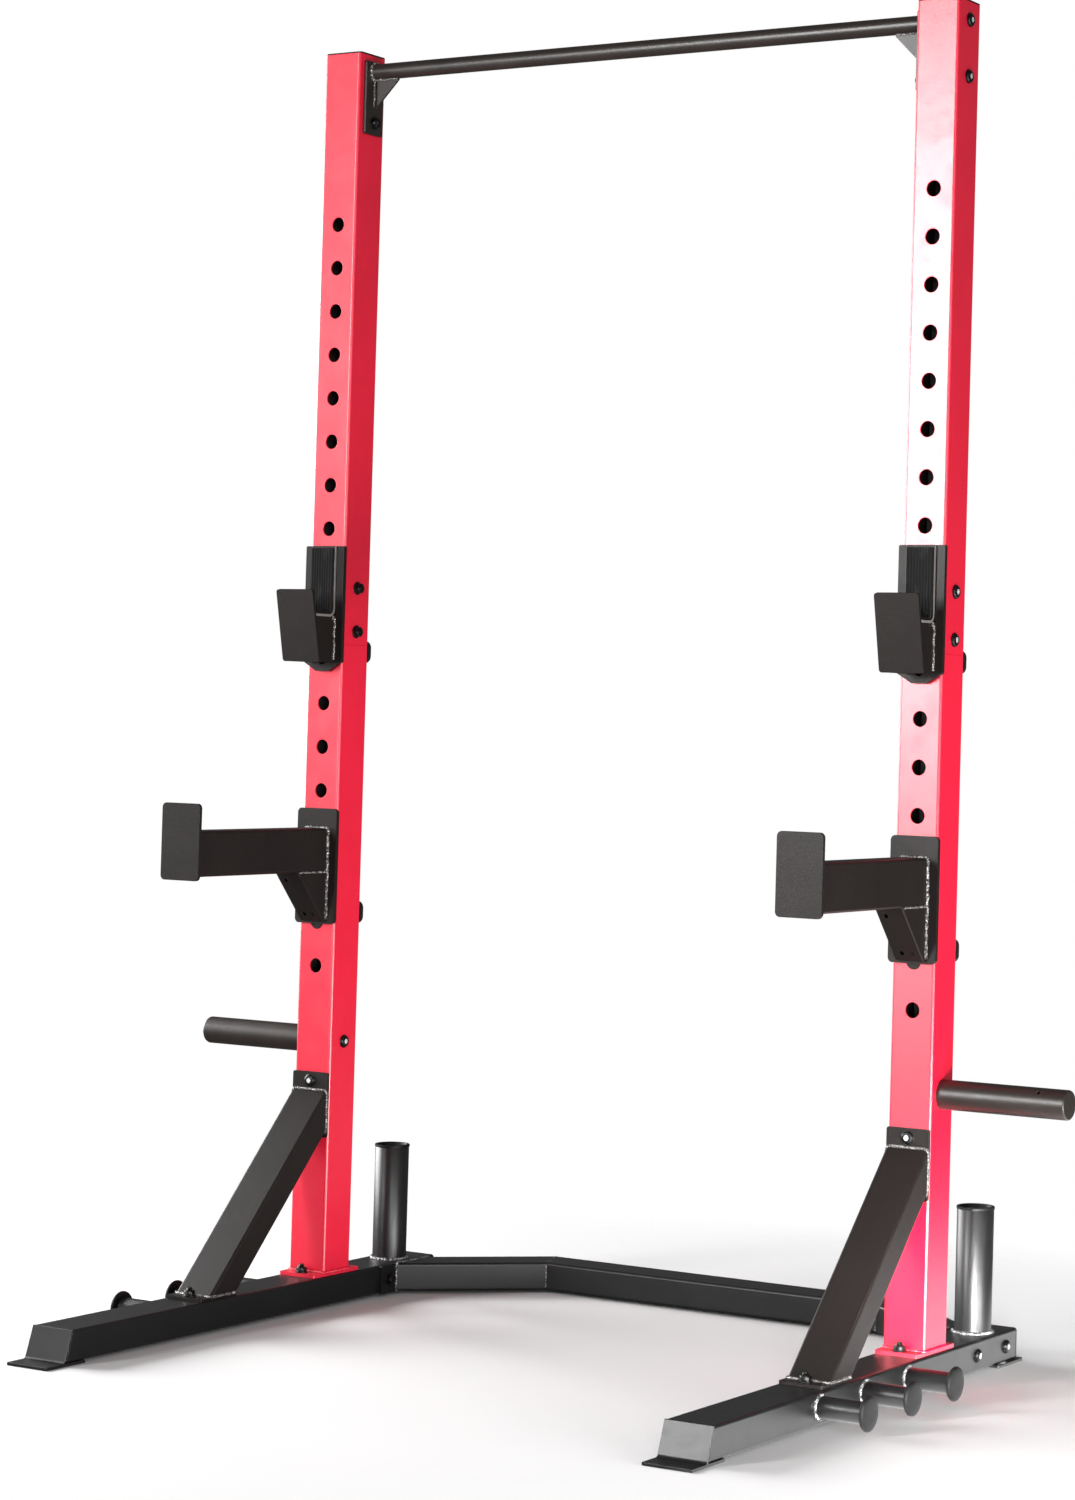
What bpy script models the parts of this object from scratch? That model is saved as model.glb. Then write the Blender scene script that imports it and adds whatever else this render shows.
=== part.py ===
"""Half power rack: two hole-drilled uprights on a three-sided base, with a pull-up bar, plate-storage
pegs, diagonal braces, bar-storage tubes, band pegs, a pair of J-hooks and a pair of spotter arms.

Frame: metres, +Z up, the rack opens towards -Y, X runs from its left side to its right side, and the
origin is on the floor under the centre of the whole rack.
"""
import math

import bmesh
import bpy
from mathutils import Vector

# ---------------------------------------------------------------- driving dimensions
GAP = 0.0003                     # paint clearance between touching pieces
WALL = 0.003                     # wall of every structural tube
PLATE = 0.006                    # flanges and base plates
SIDES = (("left", -1), ("right", 1))

UPRIGHT_X = 0.585                # each upright's centre from the middle of the rack
UPRIGHT_SIZE = 0.075             # square tube
UPRIGHT_FRONT_Y = 0.127
UPRIGHT_CENTRE_Y = UPRIGHT_FRONT_Y + UPRIGHT_SIZE / 2
UPRIGHT_TOP_Z = 2.1885
UPRIGHT_JOINT_Z = 1.152          # where the upper section stands on the lower one
TUBE_RADIUS = 0.005              # outer corner radius of the square and rectangular tubes
HOLE_PITCH = 0.0762
HOLE_COUNT = 18
HOLE_RADIUS = 0.0127
TOP_HOLE_Z = 1.8875
JOINT_HOLE = 10                  # first hole of the lower section
HOOK_HOLE = 10                   # hole that takes the hooks' pins
SPOTTER_HOLE = 16                # hole that takes the spotter arms' pins

FOOT_THICKNESS = 0.005
RAIL_WIDTH = 0.082
RAIL_HEIGHT = 0.050
RAIL_BOTTOM_Z = FOOT_THICKNESS + GAP
RAIL_TOP_Z = RAIL_BOTTOM_Z + RAIL_HEIGHT
RAIL_FRONT_Y = -0.519            # front end at the rail's top edge
RAIL_SLANT = 0.016               # how far the front end leans forward at the bottom
RAIL_REAR_Y = 0.451
FRONT_FOOT_Y = -0.580
FRONT_FOOT_BACK_Y = -0.490
REAR_FOOT_Y = (0.377, 0.467)
REAR_FOOT_WIDTH = 0.092
END_CAP = 0.003

BASE_PLATE_OVERHANG = 0.027      # in front of and behind the upright

CROSSBAR_DEPTH = 0.075
CROSSBAR_FRONT_Y = 0.505
CROSSBAR_BEND_X = 0.335          # inner corner of each bend
CROSSBAR_START_Y = 0.327         # where its front face meets the end flange
CROSSBAR_FLANGE_Y = (0.284, 0.437)
CROSSBAR_BOLT_Y = (("front", 0.307), ("rear", 0.411))
BASE_BOLT_Z = RAIL_BOTTOM_Z + RAIL_HEIGHT / 2

BAND_PEG_Y = (("front", -0.215), ("middle", -0.075), ("rear", 0.066))
BAND_PEG_Z = 0.0325
BAND_PEG_RADIUS = 0.0165
BAND_PEG_LENGTH = 0.077
BAND_CAP_RADIUS = 0.0265
BAND_CAP_THICKNESS = 0.0075

STORAGE_TUBE_Y = 0.370
STORAGE_TUBE_RADIUS = 0.0302
STORAGE_TUBE_TOP_Z = 0.2585

BAR_Z = 2.159
BAR_RADIUS = 0.014
BAR_FLANGE_WIDTH = 0.050
BAR_FLANGE_Z = (2.048, 2.1765)
BAR_GUSSET = 0.050
BAR_BOLT_Z = (("upper", BAR_Z), ("lower", 2.069))

PLATE_PEG_Z = 0.4605
PLATE_PEG_RADIUS = 0.0235
PLATE_PEG_LENGTH = 0.220
PLATE_PEG_ROOT = 0.008

BRACE_ANGLE = math.radians(46.5)
BRACE_DEPTH = 0.050
BRACE_TOP_Z = 0.378              # top face of the brace at its upper flange
BRACE_FLANGE = 0.005
BRACE_FLANGE_Z = (0.296, 0.408)
BRACE_FOOT_FRONT_Y = UPRIGHT_FRONT_Y - 0.332

SPLICE_Z = (1.066, 1.262)
SPLICE_BOLT_Z = (("upper", 1.2515), ("lower", 1.1753))
BOLT_RADIUS = 0.005
BOLT_HOLE_RADIUS = 0.0056
BOLT_HEAD_RADIUS = 0.0094
BOLT_HEAD_HEIGHT = 0.0065

# J-hooks and spotter arms are measured from the upright's front face and from their pin's centre
ARM_PLATE = 0.008
PIN_RADIUS = 0.0122
PIN_BORE_RADIUS = 0.009
PIN_END_Y = 0.0893
STUB_RADIUS = 0.0122
STUB_LENGTH = 0.014
STUB_Z = 2 * HOLE_PITCH          # the stub sits two holes above the pin
KEEPER_WIDTH = 0.075
KEEPER_Z = (-0.004, 0.035)
KEEPER_THICKNESS = 0.008
KEEPER_LUG_RADIUS = 0.018
KEEPER_CORNER = 0.012

HOOK_PLATE_HALF_WIDTH = 0.041
HOOK_TOP_Z = 0.1975
HOOK_STRIP_HALF_WIDTH = 0.025
HOOK_STRIP = 0.005
HOOK_SEAT_Z = 0.0785             # top of the steel seat
HOOK_BEND_RADIUS = 0.010         # inside of the strip's bends
HOOK_LIP_Z = (-0.0055, 0.118)
HOOK_LIP_BOTTOM_Y = -0.068       # front face of the lip at its lower edge
HOOK_LIP_LEAN = 0.2024           # forward run per rise
HOOK_LIP_HALF_WIDTH = 0.039
HOOK_LINER = 0.004

SPOTTER_PLATE_HALF_WIDTH = 0.042
SPOTTER_PLATE_Z = (-0.0025, 0.1975)
SPOTTER_ARM_WIDTH = 0.050
SPOTTER_ARM_Z = (0.0877, 0.1637)
SPOTTER_END_PLATE_HALF_WIDTH = 0.0395
SPOTTER_END_PLATE_Z = (0.082, 0.2095)
SPOTTER_REACH = 0.376
SPOTTER_GUSSET_RUN = 0.092
SPOTTER_GUSSET_FOOT_Z = 0.002

MESH_OVERLAP = 0.001             # how deep welded parts run into each other
CORNER_STEPS = 2                 # facets in a tube's rounded corner
ROUND_STEPS = 20
HOLE_STEPS = 12
BOLT_STEPS = 12


# ---------------------------------------------------------------- materials
def material(name, colour, roughness, metallic=0.0):
    result = bpy.data.materials.new(name)
    result.use_nodes = True
    shader = result.node_tree.nodes["Principled BSDF"]
    shader.inputs["Base Color"].default_value = (*colour, 1.0)
    shader.inputs["Roughness"].default_value = roughness
    shader.inputs["Metallic"].default_value = metallic
    return result


# ---------------------------------------------------------------- mesh tools
def add_object(name, mesh_data, finish, location=(0.0, 0.0, 0.0), turn=0.0):
    """Place a mesh as a named object. turn is its rotation about +Z."""
    result = bpy.data.objects.new(name, mesh_data)
    bpy.context.collection.objects.link(result)
    result.location = location
    result.rotation_euler = (0.0, 0.0, turn)
    if finish and not mesh_data.materials:
        mesh_data.materials.append(finish)
    return result


def mesh_from(verts, faces):
    """A mesh whose faces all point outwards."""
    work = bmesh.new()
    handles = [work.verts.new(v) for v in verts]
    for face in faces:
        work.faces.new([handles[i] for i in face])
    bmesh.ops.recalc_face_normals(work, faces=work.faces)
    result = bpy.data.meshes.new("shape")
    work.to_mesh(result)
    work.free()
    return result


def loft(rings):
    """A solid skinned over rings of equal length, with a flat cap on both ends."""
    count = len(rings[0])
    verts = [point for ring in rings for point in ring]
    faces = []
    for r in range(len(rings) - 1):
        for i in range(count):
            j = (i + 1) % count
            faces.append((r * count + i, r * count + j, (r + 1) * count + j, (r + 1) * count + i))
    faces.append(tuple(range(count)))
    faces.append(tuple((len(rings) - 1) * count + i for i in range(count)))
    return mesh_from(verts, faces)


def hollow_loft(outer, inner):
    """A tube open at both ends: outer and inner rings run from one end to the other."""
    count = len(outer[0])
    verts = [point for ring in outer + inner for point in ring]
    inner_start = len(outer) * count
    faces = []
    for base, rings in ((0, outer), (inner_start, inner)):
        for r in range(len(rings) - 1):
            for i in range(count):
                j = (i + 1) % count
                a = base + r * count
                faces.append((a + i, a + j, a + count + j, a + count + i))
    outer_end = (len(outer) - 1) * count
    inner_end = inner_start + (len(inner) - 1) * count
    for i in range(count):
        j = (i + 1) % count
        faces.append((i, j, inner_start + j, inner_start + i))
        faces.append((outer_end + i, outer_end + j, inner_end + j, inner_end + i))
    return mesh_from(verts, faces)


def circle(radius, steps, phase=0.5):
    turns = [2 * math.pi * (i + phase) / steps for i in range(steps)]
    return [(radius * math.cos(t), radius * math.sin(t)) for t in turns]


def hexagon(radius):
    """A hexagon drawn with BOLT_STEPS points, so that it can be skinned to a circle."""
    corners = [(radius * math.cos(math.pi * i / 3), radius * math.sin(math.pi * i / 3)) for i in range(6)]
    points = []
    for i, corner in enumerate(corners):
        following = corners[(i + 1) % 6]
        points.append(corner)
        points.append(((corner[0] + following[0]) / 2, (corner[1] + following[1]) / 2))
    return points


def rounded_rectangle(width, height, radius, steps=CORNER_STEPS):
    points = []
    for quarter, (sx, sy) in enumerate(((1, 1), (-1, 1), (-1, -1), (1, -1))):
        centre = (sx * (width / 2 - radius), sy * (height / 2 - radius))
        for step in range(steps + 1):
            angle = math.pi / 2 * (quarter + step / steps)
            points.append((centre[0] + radius * math.cos(angle), centre[1] + radius * math.sin(angle)))
    return points


def sweep_rings(outline, path, up, end_normals):
    """Rings of an outline carried along a path of straight runs, mitred where the runs meet.

    The outline's first coordinate runs sideways and its second along up. end_normals are the normals
    of the planes that cut the two ends."""
    nodes = [Vector(p) for p in path]
    up = Vector(up)
    runs = [(b - a).normalized() for a, b in zip(nodes, nodes[1:])]
    rings = []
    for k, node in enumerate(nodes):
        run = runs[min(k, len(runs) - 1)]
        if k == 0:
            cut = Vector(end_normals[0])
        elif k == len(nodes) - 1:
            cut = Vector(end_normals[1])
        else:
            cut = runs[k - 1] + runs[k]
        side = run.cross(up).normalized()
        lift = side.cross(run).normalized()
        ring = []
        for a, b in outline:
            offset = a * side + b * lift
            ring.append(node + offset - run * (offset.dot(cut) / run.dot(cut)))
        rings.append(ring)
    return rings


def swept_tube(outer, inner, path, up, end_normals):
    return hollow_loft(sweep_rings(outer, path, up, end_normals), sweep_rings(inner, path, up, end_normals))


def prism(outline, axis, start, end):
    """Extrude an outline along a world axis. Its coordinates are the other two axes, in X, Y, Z order."""
    def place(a, b, c):
        if axis == "X":
            return (c, a, b)
        if axis == "Y":
            return (a, c, b)
        return (a, b, c)
    return loft([[place(a, b, c) for a, b in outline] for c in (start, end)])


def turned(profile, steps, outlines=circle):
    """A solid of revolution about +X from (x, radius) stations."""
    return loft([[(x, a, b) for a, b in outlines(radius, steps)] for x, radius in profile])


def shifted(points, a, b):
    return [(p + a, q + b) for p, q in points]


def combine(target, tools, operation):
    """Join the tools' meshes to the target or cut them from it, and keep the plain result."""
    for tool_mesh in tools:
        tool = add_object("tool", tool_mesh, None)
        step = target.modifiers.new("join", "BOOLEAN")
        step.operation = operation
        step.solver = "EXACT"
        step.object = tool
        depsgraph = bpy.context.evaluated_depsgraph_get()
        result = bpy.data.meshes.new_from_object(target.evaluated_get(depsgraph))
        target.modifiers.clear()
        target.data = result
        bpy.data.objects.remove(tool)
    return target


def weld(name, parts, finish, cuts=()):
    """One solid from overlapping parts, less the cuts."""
    result = add_object(name, parts[0], finish)
    combine(result, parts[1:], "UNION")
    return combine(result, cuts, "DIFFERENCE")


def merged(meshes):
    """Several separate closed shapes in one mesh, to use as one cutting tool."""
    work = bmesh.new()
    for item in meshes:
        work.from_mesh(item)
    result = bpy.data.meshes.new("cutters")
    work.to_mesh(result)
    work.free()
    return result


def shade(target):
    """Smooth the round faces and keep the flat edges sharp."""
    target.data.shade_smooth()
    target.data.set_sharp_from_angle(angle=math.radians(35.0))


def place_pair(name, first, finish, location, turned_left=False):
    """Place a piece on both sides. The left one shares the right one's mesh."""
    x, y, z = location
    first.name = name + "_right"
    first.location = (x, y, z)
    first.data.materials.clear()
    first.data.materials.append(finish)
    shade(first)
    turn = math.pi if turned_left else 0.0
    add_object(name + "_left", first.data, finish, (-x, y, z), turn)


def hole_z(index):
    return TOP_HOLE_Z - index * HOLE_PITCH


# ---------------------------------------------------------------- base
def base_rails(paint):
    """Rectangular tube along Y. Its front end is cut on a slant."""
    height = RAIL_HEIGHT
    centre_z = RAIL_BOTTOM_Z + height / 2
    slant = Vector((0.0, 1.0, -RAIL_SLANT / height)).normalized()
    front_y = RAIL_FRONT_Y - RAIL_SLANT / 2
    rear_y = RAIL_REAR_Y - END_CAP - GAP
    outer = rounded_rectangle(RAIL_WIDTH, height, TUBE_RADIUS)
    inner = rounded_rectangle(RAIL_WIDTH - 2 * WALL, height - 2 * WALL, TUBE_RADIUS - WALL / 2)
    path = ((0.0, front_y, centre_z), (0.0, rear_y, centre_z))
    rail = add_object("rail", swept_tube(outer, inner, path, (0, 0, 1), (slant, (0, 1, 0))), paint)
    drills = []
    for _, y in CROSSBAR_BOLT_Y:
        hole = shifted(circle(BOLT_HOLE_RADIUS, BOLT_STEPS), y, BASE_BOLT_Z)
        drills.append(prism(hole, "X", -RAIL_WIDTH, RAIL_WIDTH))
    combine(rail, [merged(drills)], "DIFFERENCE")
    place_pair("base_rail", rail, paint, (UPRIGHT_X, 0.0, 0.0))


def front_feet(paint):
    """Bent plate that closes the rail's slanted end and runs forward along the floor."""
    t = FOOT_THICKNESS
    lean = RAIL_SLANT / RAIL_HEIGHT
    top_y = RAIL_FRONT_Y - GAP
    low_y = top_y - lean * RAIL_HEIGHT
    outline = (
        (FRONT_FOOT_Y, 0.0),
        (FRONT_FOOT_BACK_Y, 0.0),
        (FRONT_FOOT_BACK_Y, t),
        (low_y, t),
        (top_y, RAIL_TOP_Z),
        (top_y - WALL, RAIL_TOP_Z),
        (low_y - WALL - lean * GAP, t),
        (FRONT_FOOT_Y, t),
    )
    foot = add_object("foot", prism(outline, "X", -RAIL_WIDTH / 2, RAIL_WIDTH / 2), paint)
    place_pair("front_foot", foot, paint, (UPRIGHT_X, 0.0, 0.0))


def rear_feet(paint):
    """Flat plate under the rail's rear end, wider than the rail."""
    centre_y = sum(REAR_FOOT_Y) / 2
    outline = rounded_rectangle(REAR_FOOT_WIDTH, REAR_FOOT_Y[1] - REAR_FOOT_Y[0], 0.004)
    foot = add_object("foot", prism(shifted(outline, 0.0, centre_y), "Z", 0.0, FOOT_THICKNESS), paint)
    place_pair("rear_foot", foot, paint, (UPRIGHT_X, 0.0, 0.0))


def rail_end_caps(plastic):
    """Cover on the rail's rear end, with a plug inside the tube."""
    centre_z = RAIL_BOTTOM_Z + RAIL_HEIGHT / 2
    cover = rounded_rectangle(RAIL_WIDTH, RAIL_HEIGHT, TUBE_RADIUS)
    bore = 2 * (WALL + GAP)
    plug = rounded_rectangle(RAIL_WIDTH - bore, RAIL_HEIGHT - bore, TUBE_RADIUS - WALL / 2)
    parts = [
        prism(shifted(cover, 0.0, centre_z), "Y", RAIL_REAR_Y - END_CAP, RAIL_REAR_Y),
        prism(shifted(plug, 0.0, centre_z), "Y", RAIL_REAR_Y - 0.018, RAIL_REAR_Y - MESH_OVERLAP),
    ]
    cap = weld("cap", parts, plastic)
    place_pair("rail_end_cap", cap, plastic, (UPRIGHT_X, 0.0, 0.0))


def rear_crossbar(paint):
    """C-shaped tube behind the rack, with a flange on each end that bolts to a rail."""
    rail_face = UPRIGHT_X - RAIL_WIDTH / 2 - GAP
    flange_face = rail_face - PLATE
    centre_y = CROSSBAR_FRONT_Y + CROSSBAR_DEPTH / 2
    centre_z = BASE_BOLT_Z
    angle = math.atan2(CROSSBAR_FRONT_Y - CROSSBAR_START_Y, flange_face - CROSSBAR_BEND_X)
    bend_x = CROSSBAR_BEND_X + CROSSBAR_DEPTH / 2 * math.tan(angle / 2)
    end_x = flange_face + MESH_OVERLAP
    end_y = centre_y - (end_x - bend_x) * math.tan(angle)
    path = (
        (-end_x, end_y, centre_z),
        (-bend_x, centre_y, centre_z),
        (bend_x, centre_y, centre_z),
        (end_x, end_y, centre_z),
    )
    outer = rounded_rectangle(CROSSBAR_DEPTH, RAIL_HEIGHT, TUBE_RADIUS)
    inner = rounded_rectangle(CROSSBAR_DEPTH - 2 * WALL, RAIL_HEIGHT - 2 * WALL, TUBE_RADIUS - WALL / 2)
    parts = [swept_tube(outer, inner, path, (0, 0, 1), ((1, 0, 0), (1, 0, 0)))]
    length = CROSSBAR_FLANGE_Y[1] - CROSSBAR_FLANGE_Y[0]
    flange = shifted(rounded_rectangle(length, RAIL_HEIGHT, 0.003), sum(CROSSBAR_FLANGE_Y) / 2, centre_z)
    drills = []
    for _, side in SIDES:
        ends = sorted((side * flange_face, side * rail_face))
        parts.append(prism(flange, "X", *ends))
        for _, y in CROSSBAR_BOLT_Y:
            hole = shifted(circle(BOLT_HOLE_RADIUS, BOLT_STEPS), y, BASE_BOLT_Z)
            drill_ends = sorted((side * (flange_face - 0.002), side * (rail_face + 0.002)))
            drills.append(prism(hole, "X", *drill_ends))
    shade(weld("rear_crossbar", parts, paint, [merged(drills)]))


def band_pegs(steel, plastic):
    """Short tubes on the rails' outer sides, each with a wide round cap pressed into its end."""
    inner_radius = BAND_PEG_RADIUS - 0.0025
    start = GAP
    end = BAND_PEG_LENGTH
    outer = [[(x, a, b) for a, b in circle(BAND_PEG_RADIUS, ROUND_STEPS)] for x in (start, end)]
    inner = [[(x, a, b) for a, b in circle(inner_radius, ROUND_STEPS)] for x in (start, end)]
    peg_mesh = hollow_loft(outer, inner)
    cap_start = end + GAP
    cap_profile = (
        (end - 0.014, inner_radius - 2 * GAP),
        (cap_start, inner_radius - 2 * GAP),
        (cap_start, BAND_CAP_RADIUS - 0.0015),
        (cap_start + 0.0015, BAND_CAP_RADIUS),
        (cap_start + BAND_CAP_THICKNESS - 0.003, BAND_CAP_RADIUS),
        (cap_start + BAND_CAP_THICKNESS, BAND_CAP_RADIUS - 0.004),
        (cap_start + BAND_CAP_THICKNESS + 0.0012, BAND_CAP_RADIUS * 0.5),
    )
    cap_mesh = turned(cap_profile, ROUND_STEPS)
    x = UPRIGHT_X + RAIL_WIDTH / 2
    for label, y in BAND_PEG_Y:
        for mesh, kind, finish in ((peg_mesh, "band_peg", steel), (cap_mesh, "band_peg_cap", plastic)):
            piece = add_object("peg", mesh.copy(), finish)
            place_pair(kind + "_" + label, piece, finish, (x, y, BAND_PEG_Z), turned_left=True)


def bar_storage_tubes(steel):
    """Open tubes standing on the rails that take the end of a spare bar."""
    radii = (STORAGE_TUBE_RADIUS, STORAGE_TUBE_RADIUS - WALL)
    heights = (RAIL_TOP_Z + GAP, STORAGE_TUBE_TOP_Z)
    outer, inner = ([[(a, b, z) for a, b in circle(r, ROUND_STEPS)] for z in heights] for r in radii)
    tube = add_object("tube", hollow_loft(outer, inner), steel)
    place_pair("bar_storage_tube", tube, steel, (UPRIGHT_X, STORAGE_TUBE_Y, 0.0))


# ---------------------------------------------------------------- uprights
def square_tube(low_z, high_z, size=UPRIGHT_SIZE, wall=WALL):
    outer = rounded_rectangle(size, size, TUBE_RADIUS)
    inner = rounded_rectangle(size - 2 * wall, size - 2 * wall, TUBE_RADIUS - wall / 2)
    return swept_tube(outer, inner, ((0, 0, low_z), (0, 0, high_z)), (0, 1, 0), ((0, 0, 1), (0, 0, 1)))


def adjustment_holes(indices):
    """Cutters for the round holes that run from an upright's front wall through its rear wall."""
    outline = circle(HOLE_RADIUS, HOLE_STEPS)
    reach = UPRIGHT_SIZE
    return [prism(shifted(outline, 0.0, hole_z(i)), "Y", -reach, reach) for i in indices]


def side_holes(heights):
    """Cutters for bolt holes that run across an upright."""
    outline = circle(BOLT_HOLE_RADIUS, BOLT_STEPS)
    return [prism(shifted(outline, 0.0, z), "X", -UPRIGHT_SIZE, UPRIGHT_SIZE) for z in heights]


def uprights(red):
    """Lower section with its welded base plate, and the upper section that stands on it."""
    plate_z = RAIL_TOP_Z + GAP
    plate = rounded_rectangle(UPRIGHT_SIZE, UPRIGHT_SIZE + 2 * BASE_PLATE_OVERHANG, 0.003)
    parts = [
        square_tube(plate_z + PLATE - MESH_OVERLAP, UPRIGHT_JOINT_Z),
        prism(plate, "Z", plate_z, plate_z + PLATE),
    ]
    cuts = adjustment_holes(range(JOINT_HOLE, HOLE_COUNT)) + side_holes([PLATE_PEG_Z])
    lower = weld("lower", parts, red, [merged(cuts)])
    place_pair("upright_lower", lower, red, (UPRIGHT_X, UPRIGHT_CENTRE_Y, 0.0))

    bolts = [z for _, z in SPLICE_BOLT_Z + BAR_BOLT_Z]
    cuts = adjustment_holes(range(JOINT_HOLE)) + side_holes(bolts)
    upper = weld("upper", [square_tube(UPRIGHT_JOINT_Z + GAP, UPRIGHT_TOP_Z)], red, [merged(cuts)])
    place_pair("upright_upper", upper, red, (UPRIGHT_X, UPRIGHT_CENTRE_Y, 0.0))


def splice_sleeves(steel):
    """Inner tube that joins the two sections of an upright."""
    size = UPRIGHT_SIZE - 2 * (WALL + GAP)
    tube = square_tube(*SPLICE_Z, size=size)
    cuts = adjustment_holes((JOINT_HOLE - 1, JOINT_HOLE)) + side_holes([z for _, z in SPLICE_BOLT_Z])
    sleeve = weld("sleeve", [tube], steel, [merged(cuts)])
    place_pair("splice_sleeve", sleeve, steel, (UPRIGHT_X, UPRIGHT_CENTRE_Y, 0.0))


def upright_caps(plastic):
    """Slightly domed cover on the upright's open top, with a plug inside the tube."""
    size = UPRIGHT_SIZE
    plug = size - 2 * (WALL + 2 * GAP)
    base_z = UPRIGHT_TOP_Z + GAP
    stations = (
        (UPRIGHT_TOP_Z - 0.012, plug, 0.0025),
        (base_z, plug, 0.0025),
        (base_z, size, TUBE_RADIUS),
        (base_z + 0.0020, size, TUBE_RADIUS),
        (base_z + 0.0043, size - 0.016, TUBE_RADIUS),
        (base_z + 0.0057, size - 0.045, TUBE_RADIUS),
    )
    rings = [[(a, b, z) for a, b in rounded_rectangle(s, s, r)] for z, s, r in stations]
    cap = add_object("cap", loft(rings), plastic)
    place_pair("upright_cap", cap, plastic, (UPRIGHT_X, UPRIGHT_CENTRE_Y, 0.0))


def pull_up_bar(paint):
    """Round bar with a welded flange and a triangular gusset on each end."""
    face = UPRIGHT_X - UPRIGHT_SIZE / 2 - GAP
    flange_face = face - PLATE
    reach = flange_face + MESH_OVERLAP
    radii = (BAR_RADIUS, BAR_RADIUS - WALL)
    outer, inner = (
        [[(x, UPRIGHT_CENTRE_Y + a, BAR_Z + b) for a, b in circle(r, ROUND_STEPS)] for x in (-reach, reach)]
        for r in radii
    )
    height = BAR_FLANGE_Z[1] - BAR_FLANGE_Z[0]
    flange = shifted(
        rounded_rectangle(BAR_FLANGE_WIDTH, height, 0.004), UPRIGHT_CENTRE_Y, sum(BAR_FLANGE_Z) / 2
    )
    parts = [hollow_loft(outer, inner)]
    drills = []
    under = BAR_Z - BAR_RADIUS + MESH_OVERLAP
    for _, side in SIDES:
        ends = sorted((side * flange_face, side * face))
        parts.append(prism(flange, "X", *ends))
        gusset = (
            (side * reach, under),
            (side * (flange_face - BAR_GUSSET), under),
            (side * (flange_face - BAR_GUSSET), under - 0.004),
            (side * (flange_face - 0.004), under - BAR_GUSSET),
            (side * reach, under - BAR_GUSSET),
        )
        parts.append(prism(gusset, "Y", UPRIGHT_CENTRE_Y - 0.0025, UPRIGHT_CENTRE_Y + 0.0025))
        for _, z in BAR_BOLT_Z:
            hole = shifted(circle(BOLT_HOLE_RADIUS, BOLT_STEPS), UPRIGHT_CENTRE_Y, z)
            drill_ends = sorted((side * (flange_face - 0.002), side * (face + 0.002)))
            drills.append(prism(hole, "X", *drill_ends))
    shade(weld("pull_up_bar", parts, paint, [merged(drills)]))


def plate_pegs(paint):
    """Closed tube on the upright's outer side that holds weight plates."""
    length = PLATE_PEG_LENGTH
    outer_profile = ((GAP, PLATE_PEG_RADIUS), (length - 0.001, PLATE_PEG_RADIUS), (length, PLATE_PEG_RADIUS - 0.001))
    shell = turned(outer_profile, ROUND_STEPS)
    bore_radius = PLATE_PEG_RADIUS - WALL
    bore = turned(((PLATE_PEG_ROOT, bore_radius), (length - 0.004, bore_radius)), ROUND_STEPS)
    screw_hole = turned(((-0.002, BOLT_HOLE_RADIUS), (PLATE_PEG_ROOT + 0.002, BOLT_HOLE_RADIUS)), BOLT_STEPS)
    vent = prism(shifted(circle(0.002, 8), length - 0.026, 0.0), "Z", 0.018, 0.030)
    peg = weld("peg", [shell], paint, [bore, screw_hole, vent])
    x = UPRIGHT_X + UPRIGHT_SIZE / 2
    place_pair("plate_peg", peg, paint, (x, UPRIGHT_CENTRE_Y, PLATE_PEG_Z), turned_left=True)


def diagonal_braces(paint):
    """Slanting tube from the upright's front face down to the rail, with a flange on each end."""
    face_y = UPRIGHT_FRONT_Y - GAP
    flange_y = face_y - BRACE_FLANGE
    foot_z = RAIL_TOP_Z + GAP
    deck_z = foot_z + BRACE_FLANGE
    run = Vector((0.0, -math.cos(BRACE_ANGLE), -math.sin(BRACE_ANGLE)))
    half_drop = BRACE_DEPTH / 2 / math.cos(BRACE_ANGLE)
    centre_top = Vector((0.0, flange_y, BRACE_TOP_Z - half_drop))
    start = centre_top - run * (MESH_OVERLAP / math.cos(BRACE_ANGLE))
    fall = centre_top.z - deck_z + MESH_OVERLAP
    end = centre_top + run * (fall / math.sin(BRACE_ANGLE))
    outer = rounded_rectangle(UPRIGHT_SIZE, BRACE_DEPTH, TUBE_RADIUS)
    inner = rounded_rectangle(UPRIGHT_SIZE - 2 * WALL, BRACE_DEPTH - 2 * WALL, TUBE_RADIUS - WALL / 2)
    tube = swept_tube(outer, inner, (start, end), (0, 0, 1), ((0, 1, 0), (0, 0, 1)))

    flange_height = BRACE_FLANGE_Z[1] - BRACE_FLANGE_Z[0]
    flange = shifted(rounded_rectangle(UPRIGHT_SIZE, flange_height, 0.003), 0.0, sum(BRACE_FLANGE_Z) / 2)
    half_footprint = BRACE_DEPTH / 2 / math.sin(BRACE_ANGLE)
    foot_back_y = end.y + half_footprint + 0.002
    foot_length = foot_back_y - BRACE_FOOT_FRONT_Y
    foot_centre_y = (foot_back_y + BRACE_FOOT_FRONT_Y) / 2
    foot = shifted(rounded_rectangle(UPRIGHT_SIZE, foot_length, 0.003), 0.0, foot_centre_y)
    vent_y = end.y + half_footprint - 0.020
    vent = prism(shifted(circle(0.004, 8), 0.0, vent_y), "Z", foot_z - 0.004, deck_z + 0.012)
    parts = [tube, prism(flange, "Y", flange_y, face_y), prism(foot, "Z", foot_z, deck_z)]
    brace = weld("brace", parts, paint, [vent])
    place_pair("diagonal_brace", brace, paint, (UPRIGHT_X, 0.0, 0.0))


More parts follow.
